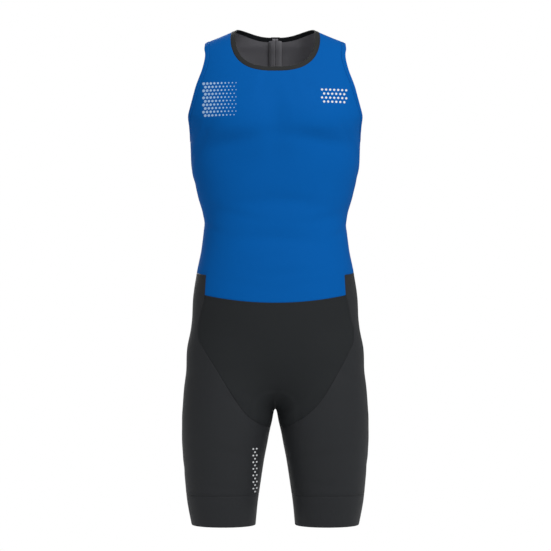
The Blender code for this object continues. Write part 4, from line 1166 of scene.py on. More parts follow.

# %% [markdown]
# ## Finishes
# The suit is knitted from fine nylon. From a distance it is an even colour with a soft glow
# where the surface turns away, and close up it shows columns of small V stitches. Effects
# that several cloths share are node groups that put out heights and colours only: the knit,
# whose colour is darker in the grooves between stitches as painted shade, the small puckers
# beside seams, the uneven tone of dyed cloth, and a field of printed dots.
# The shader stays in each material, with its own roughness and sheen.

# %% Small helpers for node trees
def maths(tree, operation, *values):
    """A Math node, fed with numbers or with other nodes' outputs."""
    node = tree.nodes.new("ShaderNodeMath")
    node.operation = operation
    for socket, value in zip(node.inputs, values):
        if isinstance(value, (int, float)):
            socket.default_value = value
        else:
            tree.links.new(value, socket)
    return node.outputs[0]


def blend_colour(tree, share, first, second):
    """A Mix node for colours."""
    node = tree.nodes.new("ShaderNodeMix")
    node.data_type = "RGBA"
    for name, value in (("Factor", share), ("A", first), ("B", second)):
        socket = [s for s in node.inputs if s.name == name and s.enabled][0]
        if isinstance(value, (int, float, tuple)):
            socket.default_value = value
        else:
            tree.links.new(value, socket)
    return [s for s in node.outputs if s.enabled][0]


def new_group(name, inputs, outputs):
    """An empty shader node group with named inputs and outputs."""
    tree = bpy.data.node_groups.new(name, "ShaderNodeTree")
    for label, kind, value in inputs:
        socket = tree.interface.new_socket(label, in_out="INPUT", socket_type=kind)
        socket.default_value = value
    for label, kind in outputs:
        tree.interface.new_socket(label, in_out="OUTPUT", socket_type=kind)
    return tree, tree.nodes.new("NodeGroupInput").outputs, tree.nodes.new("NodeGroupOutput").inputs


def place_group(tree, group, **values):
    """Put a shader node group into a material and set its inputs."""
    node = tree.nodes.new("ShaderNodeGroup")
    node.node_tree = group
    for label, value in values.items():
        socket = node.inputs[label.replace("_", " ")]
        if isinstance(value, (int, float, tuple)):
            socket.default_value = value
        else:
            tree.links.new(value, socket)
    return node.outputs


def object_place(tree):
    """Places in the model's own metres."""
    return tree.nodes.new("ShaderNodeTexCoord").outputs["Object"]


def noise(tree, scale, detail):
    """Even grey noise between 0 and 1."""
    node = tree.nodes.new("ShaderNodeTexNoise")
    node.inputs["Scale"].default_value = scale
    node.inputs["Detail"].default_value = detail
    tree.links.new(object_place(tree), node.inputs["Vector"])
    return node.outputs["Fac"]


def scaled_colour(tree, colour, share):
    """A colour made lighter or darker by a share."""
    node = tree.nodes.new("ShaderNodeVectorMath")
    node.operation = "SCALE"
    tree.links.new(colour, node.inputs[0])
    tree.links.new(share, node.inputs["Scale"])
    return node.outputs[0]


def raise_surface(tree, shader, height, distance=1.0):
    """Let heights bend the light on a shader."""
    node = tree.nodes.new("ShaderNodeBump")
    node.inputs["Distance"].default_value = distance
    tree.links.new(height, node.inputs["Height"])
    tree.links.new(node.outputs[0], shader.inputs["Normal"])


FLOAT, COLOUR = "NodeSocketFloat", "NodeSocketColor"
print("helpers ready for sockets of the kinds", FLOAT, COLOUR)

# %% Knit: columns of small V stitches, in metres on the flat cloth
def knit_group():
    tree, given, result = new_group(
        "knit",
        [("Wale", FLOAT, 0.0007), ("Course", FLOAT, 0.0006), ("Depth", FLOAT, 0.00004)],
        [("Height", FLOAT), ("Shade", FLOAT)],
    )
    place = tree.nodes.new("ShaderNodeUVMap")
    split = tree.nodes.new("ShaderNodeSeparateXYZ")
    tree.links.new(place.outputs[0], split.inputs[0])
    column = maths(tree, "FRACT", maths(tree, "DIVIDE", split.outputs[0], given["Wale"]))
    off = maths(tree, "ABSOLUTE", maths(tree, "SUBTRACT", column, 0.5))
    leg = maths(tree, "SINE", maths(tree, "MULTIPLY", off, 2 * math.pi))
    row = maths(tree, "ADD", maths(tree, "DIVIDE", split.outputs[1], given["Course"]), off)
    wave = maths(tree, "SINE", maths(tree, "MULTIPLY", row, 2 * math.pi))
    wave = maths(tree, "MULTIPLY_ADD", wave, 0.3, 0.7)
    # Shade is high on the stitch legs and low in the grooves between them; the cloth materials
    # darken their colour where it is low, which is painted shade.
    shade = maths(tree, "MULTIPLY", leg, wave)
    tree.links.new(maths(tree, "MULTIPLY", shade, given["Depth"]), result["Height"])
    tree.links.new(shade, result["Shade"])
    return tree


KNIT = knit_group()
print("group", KNIT.name, [s.name for s in KNIT.interface.items_tree])

# %% Puckers beside the seams, and the uneven tone of dyed cloth
def pucker_group():
    tree, given, result = new_group(
        "seam puckers",
        [("Reach", FLOAT, 0.007), ("Depth", FLOAT, 0.00025)],
        [("Height", FLOAT), ("Near", FLOAT)],
    )
    distance = tree.nodes.new("ShaderNodeAttribute")
    distance.attribute_name = "edge_distance"
    near = maths(tree, "DIVIDE", distance.outputs["Fac"], given["Reach"])
    near = maths(tree, "EXPONENT", maths(tree, "MULTIPLY", near, -1.0))
    uneven = maths(tree, "SUBTRACT", noise(tree, 95.0, 1.5), 0.5)
    rise = maths(tree, "MULTIPLY", uneven, given["Depth"])
    tree.links.new(maths(tree, "MULTIPLY", rise, near), result["Height"])
    tree.links.new(near, result["Near"])
    return tree


def tone_group():
    tree, given, result = new_group(
        "dyed tone",
        [
            ("Colour", COLOUR, (0.5, 0.5, 0.5, 1.0)),
            ("Patches", FLOAT, 0.06),
            ("Specks", FLOAT, 0.05),
        ],
        [("Colour", COLOUR)],
    )
    change = 1.0
    for scale, detail, amount in ((9.0, 3.0, "Patches"), (900.0, 1.0, "Specks")):
        uneven = maths(tree, "SUBTRACT", noise(tree, scale, detail), 0.5)
        change = maths(tree, "ADD", maths(tree, "MULTIPLY", uneven, given[amount]), change)
    tree.links.new(scaled_colour(tree, given["Colour"], change), result["Colour"])
    return tree


PUCKERS, TONE = pucker_group(), tone_group()
print("groups", PUCKERS.name, TONE.name)

# %% A small printed field of dots, staggered, which shrink from one side to the other
def dots_group():
    tree, given, result = new_group(
        "printed dots",
        [("Across", FLOAT, 0.0), ("Height", FLOAT, 0.0), ("Half Width", FLOAT, 0.03),
         ("Half Height", FLOAT, 0.03), ("Pitch", FLOAT, 0.006), ("Largest", FLOAT, 0.42),
         ("Fade", FLOAT, 0.6)],
        [("Mask", FLOAT)],
    )
    split = tree.nodes.new("ShaderNodeSeparateXYZ")
    tree.links.new(object_place(tree), split.inputs[0])
    x = maths(tree, "SUBTRACT", split.outputs[0], given["Across"])
    z = maths(tree, "SUBTRACT", split.outputs[2], given["Height"])
    row = maths(tree, "DIVIDE", z, given["Pitch"])
    odd = maths(tree, "FLOORED_MODULO", maths(tree, "FLOOR", row), 2.0)
    odd = maths(tree, "MULTIPLY", odd, 0.5)
    column = maths(tree, "ADD", maths(tree, "DIVIDE", x, given["Pitch"]), odd)
    u = maths(tree, "SUBTRACT", maths(tree, "FRACT", column), 0.5)
    v = maths(tree, "SUBTRACT", maths(tree, "FRACT", row), 0.5)
    middle_x = maths(tree, "SUBTRACT", x, maths(tree, "MULTIPLY", u, given["Pitch"]))
    middle_z = maths(tree, "SUBTRACT", z, maths(tree, "MULTIPLY", v, given["Pitch"]))
    share_x = maths(tree, "DIVIDE", middle_x, given["Half Width"])
    share_z = maths(tree, "DIVIDE", middle_z, given["Half Height"])
    inside = maths(tree, "LESS_THAN", split.outputs[1], 0.0)
    for share in (share_x, share_z):
        within = maths(tree, "LESS_THAN", maths(tree, "ABSOLUTE", share), 1.0)
        inside = maths(tree, "MULTIPLY", inside, within)
    fade = maths(tree, "MULTIPLY", maths(tree, "MULTIPLY_ADD", share_x, 0.5, 0.5), given["Fade"])
    size = maths(tree, "MULTIPLY", given["Largest"], maths(tree, "SUBTRACT", 1.0, fade))
    far = maths(tree, "MULTIPLY_ADD", u, u, maths(tree, "MULTIPLY", v, v))
    far = maths(tree, "SQRT", far)
    edge = maths(tree, "DIVIDE", maths(tree, "SUBTRACT", size, far), 0.05)
    edge.node.use_clamp = True
    tree.links.new(maths(tree, "MULTIPLY", edge, inside), result["Mask"])
    return tree


DOTS = dots_group()
print("group", DOTS.name)

# %% Cloth materials
def cloth_material(
    name, colour, roughness, gloss, sheen, wale=0.7, course=0.6, depth=0.035, prints=()
):
    """Dyed knit, with its printed dots if it has any; knit sizes are in millimetres."""
    material, tree, shader = new_material(
        name,
        Roughness=roughness,
        Specular_IOR_Level=gloss,
        Sheen_Weight=sheen,
        Sheen_Roughness=0.45,
    )
    knit = place_group(tree, KNIT, Wale=wale * MM, Course=course * MM, Depth=depth * MM)
    pucker = place_group(tree, PUCKERS)
    tone = place_group(tree, TONE, Colour=(*colour, 1.0))["Colour"]
    # Painted shade: the colour is darkened in the knit's grooves, where its bump is low.
    groove = maths(tree, "MULTIPLY_ADD", knit["Shade"], 0.10, 0.94)
    result = scaled_colour(tree, tone, groove)
    for ink, values in prints:
        mask = place_group(tree, DOTS, **values)["Mask"]
        result = blend_colour(tree, mask, result, (*ink, 1.0))
    tree.links.new(result, shader.inputs["Base Color"])
    raise_surface(tree, shader, maths(tree, "ADD", knit["Height"], pucker["Height"]))
    return material


PALE_INK = (0.42, 0.62, 0.90)
WHITE_INK = (0.86, 0.88, 0.90)
DOT_COLUMNS = ("Across", "Height", "Half_Width", "Half_Height", "Pitch", "Largest", "Fade")


def dots(*sizes, largest=0.42, fade=0.0):
    """Sizes of one field of dots by name; those given in a row are in millimetres."""
    return dict(zip(DOT_COLUMNS, [size * MM for size in sizes] + [largest, fade]))


CHEST_DOTS = dots(-98, -118, 30, 32, 6.4, fade=0.6)
SMALL_DOTS = dots(104, -112, 22, 14, 7.2, largest=0.3)
THIGH_DOTS = dots(-36, -776, 5, 42, 6.0, largest=0.28)
BLUE_DYE = (0.0026, 0.118, 0.450)
SHORTS_DYE = (0.0245, 0.0268, 0.0288)
LEG_DYE = (0.0295, 0.0315, 0.0345)
BLUE_FINISH = (BLUE_DYE, 0.65, 0.02, 0.004)
LEG_FINISH = (LEG_DYE, 0.55, 0.12, 0.015, 0.9, 0.7, 0.05)
CHEST_PRINTS = ((PALE_INK, CHEST_DOTS), (WHITE_INK, SMALL_DOTS))
THIGH_PRINTS = ((WHITE_INK, THIGH_DOTS),)
BLUE = cloth_material("blue knit", *BLUE_FINISH, prints=CHEST_PRINTS)
BLUE_PLAIN = cloth_material("blue knit, plain", *BLUE_FINISH)
BLACK = cloth_material("black knit", SHORTS_DYE, 0.62, 0.08, 0.01)
LEG_BLACK = cloth_material("black leg knit", *LEG_FINISH)
LEG_PRINT = cloth_material("black leg knit, printed", *LEG_FINISH, prints=THIGH_PRINTS)
TRIM_BLACK = cloth_material("black binding", (0.030, 0.031, 0.0305), 0.6, 0.1, 0.02, 0.5, 0.5)
TRIM_INSIDE = cloth_material(
    "black binding, inside", (0.016, 0.018, 0.021), 0.6, 0.08, 0.01, 0.5, 0.5
)
INSIDE_GREY = cloth_material(
    "grey back of the knit", (0.21, 0.207, 0.225), 0.8, 0.1, 0.02, wale=1.1
)
INSIDE_BLACK = cloth_material(
    "dark back of the knit", (0.040, 0.041, 0.044), 0.8, 0.1, 0.02, wale=1.1
)
print("materials", len(bpy.data.materials))

# %% [markdown]
# ## Panels of the suit
# Each panel is now laid between its seams and given its wall and its finish, and the size that
# it was cut to is printed. The wall here is as thick as in the hard model. The cut sizes are
# measured along the cloth, all round where a piece is a tube.

# %% Putting a piece in the scene
BODY_NAME = "suit"
NARROWEST = 10.5 * MM
LEAST_AREA_SHARE = 0.31


def scene_piece(name, mesh, *materials):
    """An object at the origin, with its materials, that rides with the suit."""
    for material in materials:
        mesh.materials.append(material)
    piece = bpy.data.objects.new(name, mesh)
    bpy.context.scene.collection.objects.link(piece)
    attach(piece, BODY_NAME)
    return piece


def sew(name, node, panel, outside, inside, **sizes):
    """Make a panel's cloth, let it stand for its node, and state its cut."""
    mesh = panel.cloth(name, **sizes)
    piece = scene_piece(name, mesh, outside, inside)
    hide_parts(node)
    places = panel.places.reshape(-1, 2)
    wide, long = (max(float(v), NARROWEST) for v in np.ptp(places, axis=0))
    area = min(max(panel.area(), LEAST_AREA_SHARE * wide * long), wide * long)
    size = f"cut {wide:.3f} x {long:.3f} area {area:.4f}"
    print(name, "faces", len(mesh.polygons), size)
    return piece


# %% Bodice front and back
low, upper = bodice_half(seams, -1)
right_half = low_with_step(low, upper), upper
front_panel = Panel(*right_half, *(mirrored(grid) for grid in right_half), from_middle=True)
sew("bodice_front", "front_body", front_panel.add_edge_ring(), BLUE, INSIDE_GREY)
low, upper = bodice_half(seams, 1)
right_half = low_with_step(low, upper), upper
right_panel = Panel(*right_half, from_middle=True)
sew("bodice_back_right", "back_right", right_panel.add_edge_ring(), BLUE_PLAIN, INSIDE_GREY)
left_panel = Panel(*(mirrored(grid) for grid in right_half), from_middle=True)
sew("bodice_back_left", "back_left", left_panel.add_edge_ring(), BLUE_PLAIN, INSIDE_GREY)

# %% Shorts, front and seat
sew("shorts_front", "brief_front", Panel(shorts_grid(-1)).add_edge_ring(), BLACK, INSIDE_BLACK)
sew("shorts_seat", "brief_seat", Panel(shorts_grid(1)).add_edge_ring(), BLACK, INSIDE_BLACK)

# %% Legs and their gripper bands
for side_name, sign, outside in (("left", -1.0, LEG_PRINT), ("right", 1.0, LEG_BLACK)):
    panel = Panel(leg_grid(side_name)[::-1])
    sew(f"leg_cloth_{side_name}", f"leg_{side_name}", panel.add_edge_ring(), outside, INSIDE_BLACK)
    levels = np.linspace(BAND_TOP, HEM_HEIGHT, BAND_ROWS + 1)
    rows = [tube_row(sign, np.full(LEG_RING + 1, z)) for z in levels]
    panel = Panel(np.array(rows)[::-1])
    sew(f"gripper_band_{side_name}", f"leg_band_{side_name}", panel.add_edge_ring(),
        LEG_BLACK, INSIDE_BLACK, wall=BAND_WALL)

# %% [markdown]
# ## Bindings
# A binding is a strip folded over the raw edge of the cloth, so its free edge is round and a
# little thicker than the panel. The strip's profile is a short table: how far each line lies
# from the seam, how high it stands outside, and how thick it is.

# %% Neck and armhole bindings
PROFILE_COLUMNS = ("share", "raise", "wall")
BINDING_PROFILE = (
    (0.00, -0.20, 1.0),
    (0.05, 0.25, 1.5),
    (0.14, 0.40, 1.8),
    (0.30, 0.42, 1.9),
    (0.50, 0.36, 1.85),
    (0.70, 0.40, 1.9),
    (0.84, 0.42, 1.95),
    (0.92, 0.30, 1.75),
    (0.97, 0.02, 1.25),
    (1.00, -0.50, 0.30),
)


def bind(name, node, free, lower, closed, outside, inside):
    """Lay a folded strip between the seam line and the free edge."""
    profile = dict(zip(PROFILE_COLUMNS, np.array(BINDING_PROFILE).T))
    share, raised, wall = (profile[column] for column in PROFILE_COLUMNS)
    if closed:
        free, lower = (np.concatenate([line, line[:1]]) for line in (free, lower))
    grid = settle(lower[:, None] + (free - lower)[:, None] * share[None, :, None])
    values = np.broadcast_to(np.stack([raised, wall], axis=-1) * MM, (*grid.shape[:2], 2))
    panel = Panel(grid, values=values)
    sew(name, node, panel, outside, inside, lift=panel.values[:, 0], wall=panel.values[:, 1])


turns = np.concatenate([seams.neck_front_turns, seams.neck_back_turns[1:]])
lower = np.concatenate([seams.neck_front, seams.neck_back[1:]])
free = neck_edge(turns)
free[-1, 0] = ZIP_HALF_GAP
free[-1] = settle(free[-1:])[0]
lower = np.concatenate([mirrored(lower[1:])[::-1], lower])
free = np.concatenate([mirrored(free[1:])[::-1], free])
bind("neck_edging", "neck_binding", free, lower, False, TRIM_BLACK, TRIM_INSIDE)
turns = np.concatenate([seams.arm_front_turns, seams.arm_back_turns[1:-1][::-1]])
lower = np.concatenate([seams.arm_front, seams.arm_back[1:-1][::-1]])
free = armhole_edge(turns)
arm_lines = {"right": (free[::-1], lower[::-1]), "left": (mirrored(free), mirrored(lower))}
for side_name, lines in arm_lines.items():
    bind(f"armhole_edging_{side_name}", f"armhole_binding_{side_name}", *lines, True,
         BLUE_PLAIN, BLUE_PLAIN)


# %% [markdown]
# ## Zip
# The zip runs down the centre back. Its tapes are woven and lie under the edges of the two
# back panels. The row between them is a coil: one monofilament loop after another, locked
# left and right. A coil repeats hundreds of times, so Geometry Nodes lay it: the path is
# resampled at the pitch, each point gets one loop, and every second loop reaches to the
# other side. The slider and its tab are hard and have rounded edges.

# %% Sizes of the zip
TAPE_HALF_WIDTH = 12 * MM
TAPE_WALL = 0.8 * MM
TAPE_DEPTH = 1.0 * MM
ZIP_TOP_HEIGHT = 2.4 * MM
SLIDER_HEIGHT = -13 * MM
SLIDER_SIZE = (8.6 * MM, 11 * MM, 1.4 * MM)
SLIDER_RAISE = 1.25 * MM
PIN_RADIUS = 0.8 * MM
PIN_RAISE = 5.05 * MM
PIN_ALONG = 2.0 * MM
LUG_SIZE = (1.4 * MM, 4.0 * MM)
TAB_SIZE = (4.6 * MM, 24 * MM, 1.2 * MM)
TAB_EYE_RADIUS = 2.0 * MM
MOVING_GAP = 0.3 * MM
GARAGE_HALF_WIDTH = 8 * MM
GARAGE_RANGE = (-5.2 * MM, 3.4 * MM)
GARAGE_RAISE = 2.2 * MM
ZIP_ROWS = 90
TAPE_TURN_IN = -1.5 * MM


def back_strip(x_edges, heights):
    """Grid of points at the centre back, between lines that keep their distance."""
    grid = [front_view_point(np.array(x_edges(z)), z, 1) for z in heights]
    return np.array(grid)


print("zip from", round(ZIP_END_HEIGHT, 3), "to", round(ZIP_TOP_HEIGHT, 4))


# %% Tapes and the cover at the top
TAPE_WEAVE = (0.6, 1.2, 0.05)
TAPE_MATERIALS = (
    cloth_material("zip tape", (0.014, 0.015, 0.017), 0.6, 0.2, 0.02, *TAPE_WEAVE),
    cloth_material("zip tape, inside", (0.235, 0.232, 0.25), 0.75, 0.1, 0.02, *TAPE_WEAVE),
)


def tape_places(z):
    """Across places of a tape's lines, narrower at the very top."""
    widest = ZIP_HALF_GAP if z > TAPE_TURN_IN else TAPE_HALF_WIDTH
    return np.array([0.12 * MM, 2 * MM, 4 * MM, ZIP_HALF_GAP - 0.4 * MM, widest - 0.2 * MM])


levels = np.linspace(ZIP_END_HEIGHT, TAPE_TURN_IN - 0.5 * MM, ZIP_ROWS)
levels = np.concatenate([levels, [TAPE_TURN_IN + 0.5 * MM, ZIP_TOP_HEIGHT]])
tape = back_strip(tape_places, levels)
for side_name, grid in (("right", tape), ("left", mirrored(tape))):
    sew(f"woven_tape_{side_name}", f"zip_tape_{side_name}", Panel(grid), *TAPE_MATERIALS,
        wall=TAPE_WALL, lift=-(CLOTH_WALL + TAPE_DEPTH))
levels = np.linspace(*GARAGE_RANGE, 8)
cover = back_strip(lambda z: np.linspace(-GARAGE_HALF_WIDTH, GARAGE_HALF_WIDTH, 17), levels)
cover_panel = Panel(cover).add_edge_ring()
sew("zip_cover", "zip_garage", cover_panel, TRIM_BLACK, TRIM_INSIDE, lift=GARAGE_RAISE)

# %% [markdown]
# ## One tree for everything that is laid along a line
# Stitches and coil loops are the same idea: a small rounded bar at even steps along a line,
# turned with the line and standing on the cloth. The line is a mesh of edges, and each of
# its points keeps the outward direction as an attribute. One Geometry Nodes tree with named
# inputs lays them all, with the bar's length, width and height, its slant and its shift.

# %% The tree
def bar_row_tree():
    """Rounded bars along lines, with named sizes."""
    tree = bpy.data.node_groups.new("bars along lines", "GeometryNodeTree")
    tree.interface.new_socket("Geometry", in_out="INPUT", socket_type="NodeSocketGeometry")
    sizes = (("Pitch", 2.6 * MM), ("Length", 2.1 * MM), ("Width", 0.5 * MM), ("Height", 0.4 * MM),
             ("Slant", 0.0), ("Shift", 0.0))
    for label, value in sizes:
        socket = tree.interface.new_socket(label, in_out="INPUT", socket_type=FLOAT)
        socket.default_value = value
    tree.interface.new_socket("Material", in_out="INPUT", socket_type="NodeSocketMaterial")
    tree.interface.new_socket("Geometry", in_out="OUTPUT", socket_type="NodeSocketGeometry")
    node = tree.nodes.new
    link = tree.links.new
    given = node("NodeGroupInput").outputs
    curve = node("GeometryNodeMeshToCurve")
    link(given["Geometry"], curve.inputs["Mesh"])
    spaced = node("GeometryNodeResampleCurve")
    spaced.mode = "LENGTH"
    link(curve.outputs[0], spaced.inputs["Curve"])
    link(given["Pitch"], spaced.inputs["Length"])
    tangent = node("GeometryNodeInputTangent")
    out = node("GeometryNodeInputNamedAttribute")
    out.data_type = "FLOAT_VECTOR"
    out.inputs["Name"].default_value = "out"
    turn = node("FunctionNodeAxesToRotation")
    turn.primary_axis, turn.secondary_axis = "Z", "X"
    link(out.outputs["Attribute"], turn.inputs["Primary Axis"])
    link(tangent.outputs[0], turn.inputs["Secondary Axis"])
    index = node("GeometryNodeInputIndex")
    odd = maths(tree, "FLOORED_MODULO", index.outputs[0], 2.0)
    side = maths(tree, "MULTIPLY_ADD", odd, 2.0, -1.0)
    slant = node("FunctionNodeRotateRotation")
    slant.rotation_space = "LOCAL"
    lean = node("ShaderNodeCombineXYZ")
    link(maths(tree, "MULTIPLY", side, given["Slant"]), lean.inputs["Z"])
    link(turn.outputs[0], slant.inputs[0])
    link(lean.outputs[0], slant.inputs[1])
    bar = node("GeometryNodeMeshUVSphere")
    bar.inputs["Segments"].default_value = 6
    bar.inputs["Rings"].default_value = 4
    bar.inputs["Radius"].default_value = 0.5
    size = node("ShaderNodeCombineXYZ")
    for label, axis in (("Length", "X"), ("Width", "Y"), ("Height", "Z")):
        link(given[label], size.inputs[axis])
    laid = node("GeometryNodeInstanceOnPoints")
    link(spaced.outputs[0], laid.inputs["Points"])
    link(bar.outputs["Mesh"], laid.inputs["Instance"])
    link(slant.outputs[0], laid.inputs["Rotation"])
    link(size.outputs[0], laid.inputs["Scale"])
    moved = node("GeometryNodeTranslateInstances")
    step = node("ShaderNodeCombineXYZ")
    link(maths(tree, "MULTIPLY", side, given["Shift"]), step.inputs["Y"])
    link(laid.outputs[0], moved.inputs["Instances"])
    link(step.outputs[0], moved.inputs["Translation"])
    real = node("GeometryNodeRealizeInstances")
    link(moved.outputs[0], real.inputs[0])
    smooth = node("GeometryNodeSetShadeSmooth")
    link(real.outputs[0], smooth.inputs["Geometry"])
    finish = node("GeometryNodeSetMaterial")
    link(smooth.outputs[0], finish.inputs["Geometry"])
    link(given["Material"], finish.inputs["Material"])
    link(finish.outputs[0], node("NodeGroupOutput").inputs[0])
    return tree


BAR_ROWS = bar_row_tree()
print("tree", BAR_ROWS.name, "with", len(BAR_ROWS.nodes), "nodes")


def lay_bars(name, lines, material, **sizes):
    """Mesh of bars along lines; each line is its points and its outward directions."""
    points = np.concatenate([line for line, _ in lines])
    out = np.concatenate([way for _, way in lines])
    edges, start = [], 0
    for line, _ in lines:
        edges += [(start + i, start + i + 1) for i in range(len(line) - 1)]
        start += len(line)
    path = bpy.data.meshes.new(f"{name} path")
    path.from_pydata(points.tolist(), edges, [])
    outward = path.attributes.new("out", "FLOAT_VECTOR", "POINT")
    outward.data.foreach_set("vector", out.ravel())
    carrier = bpy.data.objects.new(f"{name} path", path)
    bpy.context.scene.collection.objects.link(carrier)
    rows = carrier.modifiers.new("bars", "NODES")
    rows.node_group = BAR_ROWS
    items = BAR_ROWS.interface.items_tree
    sockets = {item.name: item.identifier for item in items if item.in_out == "INPUT"}
    for label, value in sizes.items():
        rows[sockets[label]] = value
    rows[sockets["Material"]] = material
    bpy.context.view_layer.update()
    ready = carrier.evaluated_get(bpy.context.evaluated_depsgraph_get())
    mesh = bpy.data.meshes.new_from_object(ready)
    bpy.data.objects.remove(carrier, do_unlink=True)
    piece = bpy.data.objects.new(name, mesh)
    bpy.context.scene.collection.objects.link(piece)
    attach(piece, BODY_NAME)
    print(name, "faces", len(mesh.polygons))
    return piece


# %% Threads and filament
THREAD_RIDGE = 0.06 * MM


def thread_material(name, colour, roughness):
    """Twisted thread: fine slanting ridges along its own places, with painted shade between them.
    """
    material, tree, shader = new_material(name, Roughness=roughness, Specular_IOR_Level=0.2)
    ply = tree.nodes.new("ShaderNodeTexWave")
    ply.wave_type = "BANDS"
    ply.bands_direction = "DIAGONAL"
    ply.inputs["Scale"].default_value = 900.0
    tree.links.new(object_place(tree), ply.inputs["Vector"])
    # Painted shade: the thread is darker in the bands between its plies, where the ridges are low.
    dark = tuple(0.7 * part for part in colour)
    tint = blend_colour(tree, ply.outputs["Fac"], (*dark, 1.0), (*colour, 1.0))
    tree.links.new(tint, shader.inputs["Base Color"])
    raise_surface(tree, shader, ply.outputs["Fac"], THREAD_RIDGE)
    return material


BLUE_THREAD = thread_material("blue thread", (0.0028, 0.105, 0.405), 0.55)
BLACK_THREAD = thread_material("black thread", (0.028, 0.030, 0.033), 0.5)
COIL_FILAMENT = thread_material("coil filament", (0.020, 0.021, 0.024), 0.32)


def on_cloth(line, lift):
    """A line's points on the cloth's outer side, and its outward directions."""
    out = normals(line)
    return line + out * (cloth_relief(line, out) + lift)[:, None], out


print("threads", BLUE_THREAD.name, "and", BLACK_THREAD.name)

# %% Coil between the tapes
COIL_SINK = -0.55 * MM
levels = np.linspace(ZIP_END_HEIGHT + 2 * MM, ZIP_TOP_HEIGHT - 5 * MM, 240)
coil_line = front_view_point(np.zeros(len(levels)), levels, 1)
coil = lay_bars(
    "zip_coil", [on_cloth(coil_line, COIL_SINK)], COIL_FILAMENT,
    Pitch=0.62 * MM, Length=0.66 * MM, Width=3.3 * MM, Height=1.3 * MM, Slant=0.0, Shift=0.75 * MM,
)
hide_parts("zip_chain")

# %% Metal, rounded blocks and lathed rings
METAL_GRAIN = 0.04 * MM


def slider_frame():
    """Place of the slider: across, up along the zip, and out of the cloth."""
    spot = front_view_point(0.0, SLIDER_HEIGHT, 1)[None]
    out = normals(spot)
    spot = spot + out * relief(spot, out)[:, None]
    out = Vector(out[0]).normalized()
    across = Vector((-1, 0, 0))
    up = out.cross(across)
    frame = Matrix((across, up, out)).transposed().to_4x4()
    frame.translation = Vector(spot[0])
    return frame


def coated_metal():
    """Die-cast metal with a satin black coat whose tone, roughness and surface vary in a fine
    grain.
    """
    material, tree, shader = new_material("coated metal", Metallic=0.85)
    grain = noise(tree, 420.0, 2.0)
    tint = blend_colour(tree, grain, (0.035, 0.036, 0.04, 1.0), (0.075, 0.077, 0.082, 1.0))
    tree.links.new(tint, shader.inputs["Base Color"])
    tree.links.new(maths(tree, "MULTIPLY_ADD", grain, 0.2, 0.28), shader.inputs["Roughness"])
    raise_surface(tree, shader, grain, METAL_GRAIN)
    return material


def rounded_block(shape, size, centre, radius, narrow=1.0):
    """Add a block with round edges, narrower at its lower end."""
    block = bmesh.new()
    bmesh.ops.create_cube(block, size=1.0)
    for vertex in block.verts:
        share = narrow if vertex.co.y < 0 else 1.0
        x, y, z = (part * whole for part, whole in zip(vertex.co, size))
        vertex.co = Vector((x * share, y, z)) + Vector(centre)
    bmesh.ops.bevel(
        block, geom=list(block.edges), offset=radius, segments=3, profile=0.5, affect="EDGES"
    )
    part = bpy.data.meshes.new("part")
    block.to_mesh(part)
    block.free()
    shape.from_mesh(part)
    bpy.data.meshes.remove(part)


def lathed_ring(shape, outline, centre, segments=32):
    """Add a closed ring turned round the across axis; outline is (radius, across) points."""
    rows = []
    for k in range(segments):
        turn = 2 * math.pi * k / segments
        spot = [(x, r * math.cos(turn), r * math.sin(turn)) for r, x in outline]
        rows.append([shape.verts.new(Vector(p) + Vector(centre)) for p in spot])
    for k in range(segments):
        a, b = rows[k], rows[(k + 1) % segments]
        for i in range(len(outline)):
            j = (i + 1) % len(outline)
            shape.faces.new((a[i], a[j], b[j], b[i]))


def hard_piece(name, shape, matrix, node, body, material):
    """Finish a hard piece: outward faces, its place in its mesh, its body and its finish."""
    bmesh.ops.recalc_face_normals(shape, faces=list(shape.faces))
    mesh = bpy.data.meshes.new(name)
    shape.to_mesh(mesh)
    shape.free()
    mesh.transform(matrix)
    for face in mesh.polygons:
        face.use_smooth = True
    mesh.materials.append(material)
    mesh.set_sharp_from_angle(angle=math.radians(40))
    piece = bpy.data.objects.new(name, mesh)
    bpy.context.scene.collection.objects.link(piece)
    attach(piece, body)
    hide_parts(node)
    print(name, "faces", len(mesh.polygons))


metal = coated_metal()
main_frame = slider_frame()

# %% Slider: a plate, two lugs, two flanges and the pin
PLATE_EDGE, PLATE_NARROW = 0.55 * MM, 0.72
LUG_OVER_PIN, LUG_EDGE = 0.6 * MM, 0.45 * MM
FLANGE_WIDTH, FLANGE_ALONG, FLANGE_EDGE = 0.9 * MM, 0.5 * MM, 0.3 * MM
PIN_TIP = 0.05 * MM
width, length, thick = SLIDER_SIZE
plate_middle = SLIDER_RAISE + thick / 2
lug_x = TAB_SIZE[0] / 2 + MOVING_GAP + LUG_SIZE[0] / 2
lug_top = PIN_RAISE + PIN_RADIUS + LUG_OVER_PIN
lug_size = (LUG_SIZE[0], LUG_SIZE[1], lug_top - plate_middle)
flange_size = (FLANGE_WIDTH, length * 0.8, thick * 1.5)
slider = bmesh.new()
rounded_block(slider, SLIDER_SIZE, (0, 0, plate_middle), PLATE_EDGE, narrow=PLATE_NARROW)
for sign in (-1, 1):
    lug_place = (sign * lug_x, PIN_ALONG, (lug_top + plate_middle) / 2)
    rounded_block(slider, lug_size, lug_place, LUG_EDGE)
    flange_place = (sign * width * 0.40, FLANGE_ALONG, SLIDER_RAISE + thick * 0.45)
    rounded_block(slider, flange_size, flange_place, FLANGE_EDGE)
pin_half = lug_x + LUG_SIZE[0] / 4
pin_outline = [(PIN_RADIUS, -pin_half), (PIN_RADIUS, pin_half)]
pin_outline = [(PIN_TIP, -pin_half), *pin_outline, (PIN_TIP, pin_half)]
lathed_ring(slider, pin_outline, (0, PIN_ALONG, PIN_RAISE))
hard_piece("slider_body", slider, main_frame, "zip_slider", BODY_NAME, metal)

